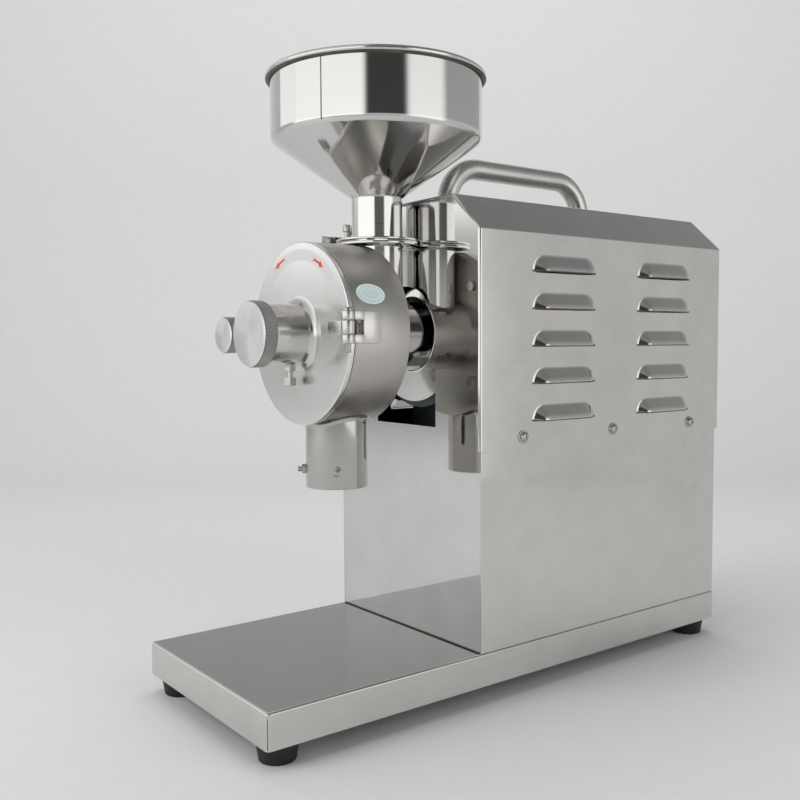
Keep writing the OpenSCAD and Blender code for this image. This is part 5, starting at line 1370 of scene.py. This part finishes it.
class GRINDER_OT_marks(bpy.types.Operator):
    """Prints the two adjusting arrows on the lid and sticks the blank label on the drum"""
    bl_idname = "grinder.marks"
    bl_label = "Marks"

    def arrows(self):
        """A clear film on the lid, and on it short darts with a forked tail, one to each side of the top."""
        face = lid_face() - 0.12
        run = [*arc(0, 0, 80, 40, 140, 40), *arc(0, 0, 69.5, 140, 40, 40)]
        places = [AXIS_FOOT + Vector((x, face + 0.05, z)) * MM for x, z in run]
        dress(plate("arrow_film", places, BACK * 0.09 * MM), "film", "door", "satin_stainless")
        fork, barb, shaft = 3.6, 3, 1.1
        arrows = []
        for tail, head, radius in ((107, 124, 77), (71, 54, 74)):
            turn = 1 if head > tail else -1
            notch = tail + turn * 3.5
            neck = head - turn * 6
            run = [polar(radius + fork, tail), polar(radius + 0.9, notch)]
            run += arc(0, 0, radius + shaft, notch, neck, 8)
            run += [polar(radius + barb, neck), polar(radius, head), polar(radius - barb, neck)]
            run += arc(0, 0, radius - shaft, neck, notch, 8)
            run += [polar(radius - fork, tail), polar(radius, notch)]
            places = [AXIS_FOOT + Vector((x, face, z)) * MM for x, z in run]
            arrows.append(plate("arrow", places, BACK * 0.14 * MM))
        dress(join("lid_arrows", arrows), "arrows", "door", "satin_stainless")

    def label(self):
        """Blank ovals, one on the other, that lie along the drum a quarter of the way up its right side."""
        up = math.radians(24)
        out = Vector((math.cos(up), 0, math.sin(up)))
        across = Vector((-math.sin(up), 0, math.cos(up)))
        hub = SHAFT + out * (sizes().drum / 2 + 2 * MM)
        hub.y = FRONT - 100 * MM
        frame_of = Matrix.Translation(hub) @ Matrix((BACK, across, out)).transposed().to_4x4()
        drum = bpy.data.objects["turned_drum"]
        for name, finish, wide, tall, lift in (("label_edge", "label_edge", 15.6, 10.4, 0.1),
                ("label_field", "label", 14.4, 9.2, 0.16), ("label_ring", "label_edge", 11.4, 6.2, 0.2),
                ("label_middle", "label", 10.7, 5.5, 0.24)):
            clear()
            bpy.ops.mesh.primitive_circle_add(vertices=48, radius=1, fill_type="TRIFAN", location=(0, 0, 0))
            oval = keep(name)
            edit(oval)
            bpy.ops.mesh.subdivide(number_cuts=4)
            clear()
            oval.data.transform(frame_of @ Matrix.Diagonal((wide * MM, tall * MM, 1, 1)))
            apply(oval, "SHRINKWRAP", target=drum, wrap_method="NEAREST_SURFACEPOINT",
                wrap_mode="ABOVE_SURFACE", offset=lift * MM)
            smooth(oval, 60)
            dress(oval, finish, "frame", "satin_stainless")

    def execute(self, context):
        self.arrows()
        self.label()
        return {"FINISHED"}


class GRINDER_OT_works(bpy.types.Operator):
    """Gives the pieces that stay as solids their finishes and softened edges"""
    bl_idname = "grinder.works"
    bl_label = "Panels and inner works"

    def execute(self, context):
        by_slot = {"polished_stainless": "mirror", "bright_stainless": "sheet", "satin_stainless": "satin",
            "zinc_steel": "zinc", "tool_steel": "iron", "black_rubber": "rubber", "motor_paint": "paint",
            "stator_copper": "copper", "black_plastic": "black", "pale_plastic": "pale",
            "green_plastic": "green", "red_plastic": "red"}
        slots = {part["node"]: part["material_slot"] for part in frame["record"]["subparts"]}
        rounds = {"switch_block": 1.2, "start_button": 1, "stop_button": 1, "cable_gland": 0.5,
            "terminal_box": 1.5}
        for node, solid in frame["nodes"].items():
            solid.data.materials.clear()
            solid.data.materials.append(FINISH[by_slot[slots[node]]])
            if solid.hide_render:
                continue
            modify(solid, "WELD", merge_threshold=NEAR)
            modify(solid, "DECIMATE", decimate_type="DISSOLVE", angle_limit=math.radians(0.5))
            modify(solid, "BEVEL", width=rounds.get(node, 0.3) * MM, segments=2, limit_method="ANGLE",
                angle_limit=math.radians(40))
            modify(solid, "WEIGHTED_NORMAL", weight=100)
            solid.data.polygons.foreach_set("use_smooth", [True] * len(solid.data.polygons))
        return {"FINISHED"}


class GRINDER_OT_stage(bpy.types.Operator):
    """Sets the floor and backdrop, the soft lights and the camera"""
    bl_idname = "grinder.stage"
    bl_label = "Studio"

    def paper(self):
        """A floor that sweeps up behind the machine, on the far side from the camera."""
        near, wall, high, bend = -4, 2.2, 4, 0.9
        left, wide = 4, 5.45
        far = Vector((-0.795, 0.607, 0))
        side = Vector((0.607, 0.795, 0))
        run = rounded([(near, 0), (wall, 0), (wall, high)], [0, bend, 0], 16)
        sweep = wire("studio_floor", [far * x + UP * z for x, z in run])
        bpy.ops.mesh.select_all(action="SELECT")
        bpy.ops.transform.translate(value=-side * left)
        bpy.ops.mesh.extrude_region_move(TRANSFORM_OT_translate={"value": side * wide})
        bpy.ops.mesh.select_all(action="SELECT")
        bpy.ops.mesh.normals_make_consistent(inside=True)
        smooth(sweep, 60)
        sweep.data.materials.append(fine_grained("studio_paper", colours().floor, 0.8, 0, 5, 0.02, 0.01))

    def room(self, scene):
        """A room with a white screen to the left, a window to the right and dark behind the camera."""
        world = bpy.data.worlds.new("studio")
        scene.world = world
        world.use_nodes = True
        tree = world.node_tree
        tree.nodes.clear()
        ray = add(tree, "ShaderNodeTexCoord").outputs["Generated"]
        flat = add(tree, "ShaderNodeVectorMath", {"operation": "MULTIPLY", 1: (1, 1, 0)}, {0: ray}).outputs[0]
        plan = add(tree, "ShaderNodeVectorMath", {"operation": "NORMALIZE"}, {0: flat}).outputs[0]

        def toward(view, direction, start, end, low, high):
            """A change in the room's light, from far off a direction to near it."""
            near = add(tree, "ShaderNodeVectorMath", {"operation": "DOT_PRODUCT", 1: direction}, {0: view})
            return add(tree, "ShaderNodeMapRange", {"interpolation_type": "SMOOTHSTEP", "From Min": start,
                "From Max": end, "To Min": low, "To Max": high}, {"Value": near.outputs["Value"]}).outputs[0]

        def strip(angle, full, gone, low, high):
            """An upright part of the room: its plan angle, and how far off that it is full and gone."""
            edges = [math.cos(math.radians(turn)) for turn in (gone, full)]
            return toward(plan, (*polar(1, angle), 0), *edges, low, high)

        def both(operation, first, second):
            return compute(tree, operation, first, second)

        walls = toward(ray, UP, 0.1, 0.22, 0.63, 0.45)
        off_level = both("ADD", toward(ray, UP, 0.4, 0.62, 0, 1), toward(ray, -UP, -0.12, -0.06, 0, 1))
        camera_side = both("MAXIMUM", strip(-24.5, 18.5, 24, 1, 0.13), off_level)
        high_screen = both("MULTIPLY", strip(-105, 54, 60, 0, 0.8), toward(ray, UP, 0.1, 0.16, 0, 1))
        screen = both("MAXIMUM", high_screen, strip(-90, 38, 45, 0, 0.9))
        window = both("MULTIPLY", strip(18.5, 15, 27, 0, 0.75), toward(ray, UP, 0.3, 0.4, 1, 0))
        ceiling = toward(ray, UP, 0.15, 0.8, 1, 0.5)
        level = both("ADD", both("MULTIPLY", walls, camera_side), both("ADD", screen, window))
        light = add(tree, "ShaderNodeBackground", {"Color": (*linear("F6F6F6"), 1)},
            {"Strength": both("MULTIPLY", level, ceiling)})
        add(tree, "ShaderNodeOutputWorld", links={"Surface": light.outputs[0]})

    def lamps(self, scene):
        """Three broad soft lights."""
        for name, place, aim, wide, tall, power in (
                ("key", (-0.5, -2.4, 1.6), (0, -0.1, 0.35), 1.2, 2.2, 30),
                ("fill", (2.5, 0.9, 1.3), (0, 0, 0.3), 1.4, 2.2, 20),
                ("top", (-0.3, 0.2, 2.8), (0, 0, 0.3), 2.0, 2.0, 30)):
            lamp = bpy.data.lights.new(name, "AREA")
            lamp.shape = "RECTANGLE"
            lamp.size = wide
            lamp.size_y = tall
            lamp.energy = power
            item = bpy.data.objects.new(name, lamp)
            scene.collection.objects.link(item)
            item.location = place
            item.rotation_euler = (Vector(aim) - Vector(place)).to_track_quat("-Z", "Y").to_euler()
            # Polished steel mirrors the room, not the edges of the lamps
            item.visible_glossy = False

    def camera(self, scene):
        """The photograph's camera, fitted to points measured in it."""
        eye = bpy.data.cameras.new("photograph_view")
        eye.sensor_width = 36
        eye.lens = 42.12
        camera = bpy.data.objects.new("photograph_view", eye)
        scene.collection.objects.link(camera)
        turn, tilt, roll = math.radians(52.652), math.radians(3.474), math.radians(-0.337)
        ahead = Vector((-math.sin(turn) * math.cos(tilt), math.cos(turn) * math.cos(tilt), -math.sin(tilt)))
        across = ahead.cross(UP).normalized()
        above = across.cross(ahead)
        right = math.cos(roll) * across + math.sin(roll) * above
        top = -math.sin(roll) * across + math.cos(roll) * above
        camera.matrix_world = Matrix.Translation(point(767.26, -592.31, 296.83)) @ Matrix(
            (right, top, -ahead)).transposed().to_4x4()
        scene.camera = camera

    def execute(self, context):
        context.scene.view_settings.view_transform = "Standard"
        self.paper()
        self.room(context.scene)
        self.lamps(context.scene)
        self.camera(context.scene)
        return {"FINISHED"}


class GRINDER_PT_panel(bpy.types.Panel):
    """Lists the grinder's pieces, sizes and colours"""
    bl_idname = "GRINDER_PT_panel"
    bl_label = "Coffee grinder"
    bl_space_type = "VIEW_3D"
    bl_region_type = "UI"
    bl_category = "Grinder"

    def draw(self, context):
        for piece in PIECES:
            self.layout.operator(piece.bl_idname)
        for group in (sizes(), colours()):
            box = self.layout.box()
            for name in group.bl_rna.properties.keys():
                if name not in ("rna_type", "name"):
                    box.prop(group, name)


PIECES = (GRINDER_OT_stage, GRINDER_OT_tray, GRINDER_OT_feet, GRINDER_OT_hood, GRINDER_OT_panels,
    GRINDER_OT_hood_screws, GRINDER_OT_handle, GRINDER_OT_hopper, GRINDER_OT_feed_gate, GRINDER_OT_drum,
    GRINDER_OT_lid, GRINDER_OT_hinge, GRINDER_OT_knobs, GRINDER_OT_hub_lock, GRINDER_OT_neck,
    GRINDER_OT_spout, GRINDER_OT_marks, GRINDER_OT_works)
CLASSES = (GrinderSizes, GrinderColours, *PIECES, GRINDER_PT_panel)


def register():
    for item in CLASSES:
        bpy.utils.register_class(item)
    bpy.types.Scene.grinder_sizes = bpy.props.PointerProperty(type=GrinderSizes)
    bpy.types.Scene.grinder_colours = bpy.props.PointerProperty(type=GrinderColours)


def unregister():
    del bpy.types.Scene.grinder_colours
    del bpy.types.Scene.grinder_sizes
    for item in reversed(CLASSES):
        bpy.utils.unregister_class(item)


def main():
    register()
    FINISH.update(finishes())
    bpy.ops.grinder.stage()
    bpy.ops.grinder.tray()
    bpy.ops.grinder.feet()
    bpy.ops.grinder.hood()
    bpy.ops.grinder.panels()
    bpy.ops.grinder.hood_screws()
    bpy.ops.grinder.handle()
    bpy.ops.grinder.hopper()
    bpy.ops.grinder.feed_gate()
    bpy.ops.grinder.drum()
    bpy.ops.grinder.lid()
    bpy.ops.grinder.hinge()
    bpy.ops.grinder.knobs()
    bpy.ops.grinder.hub_lock()
    bpy.ops.grinder.neck()
    bpy.ops.grinder.spout()
    bpy.ops.grinder.marks()
    bpy.ops.grinder.works()
    clear()


if __name__ == "__main__":
    main()
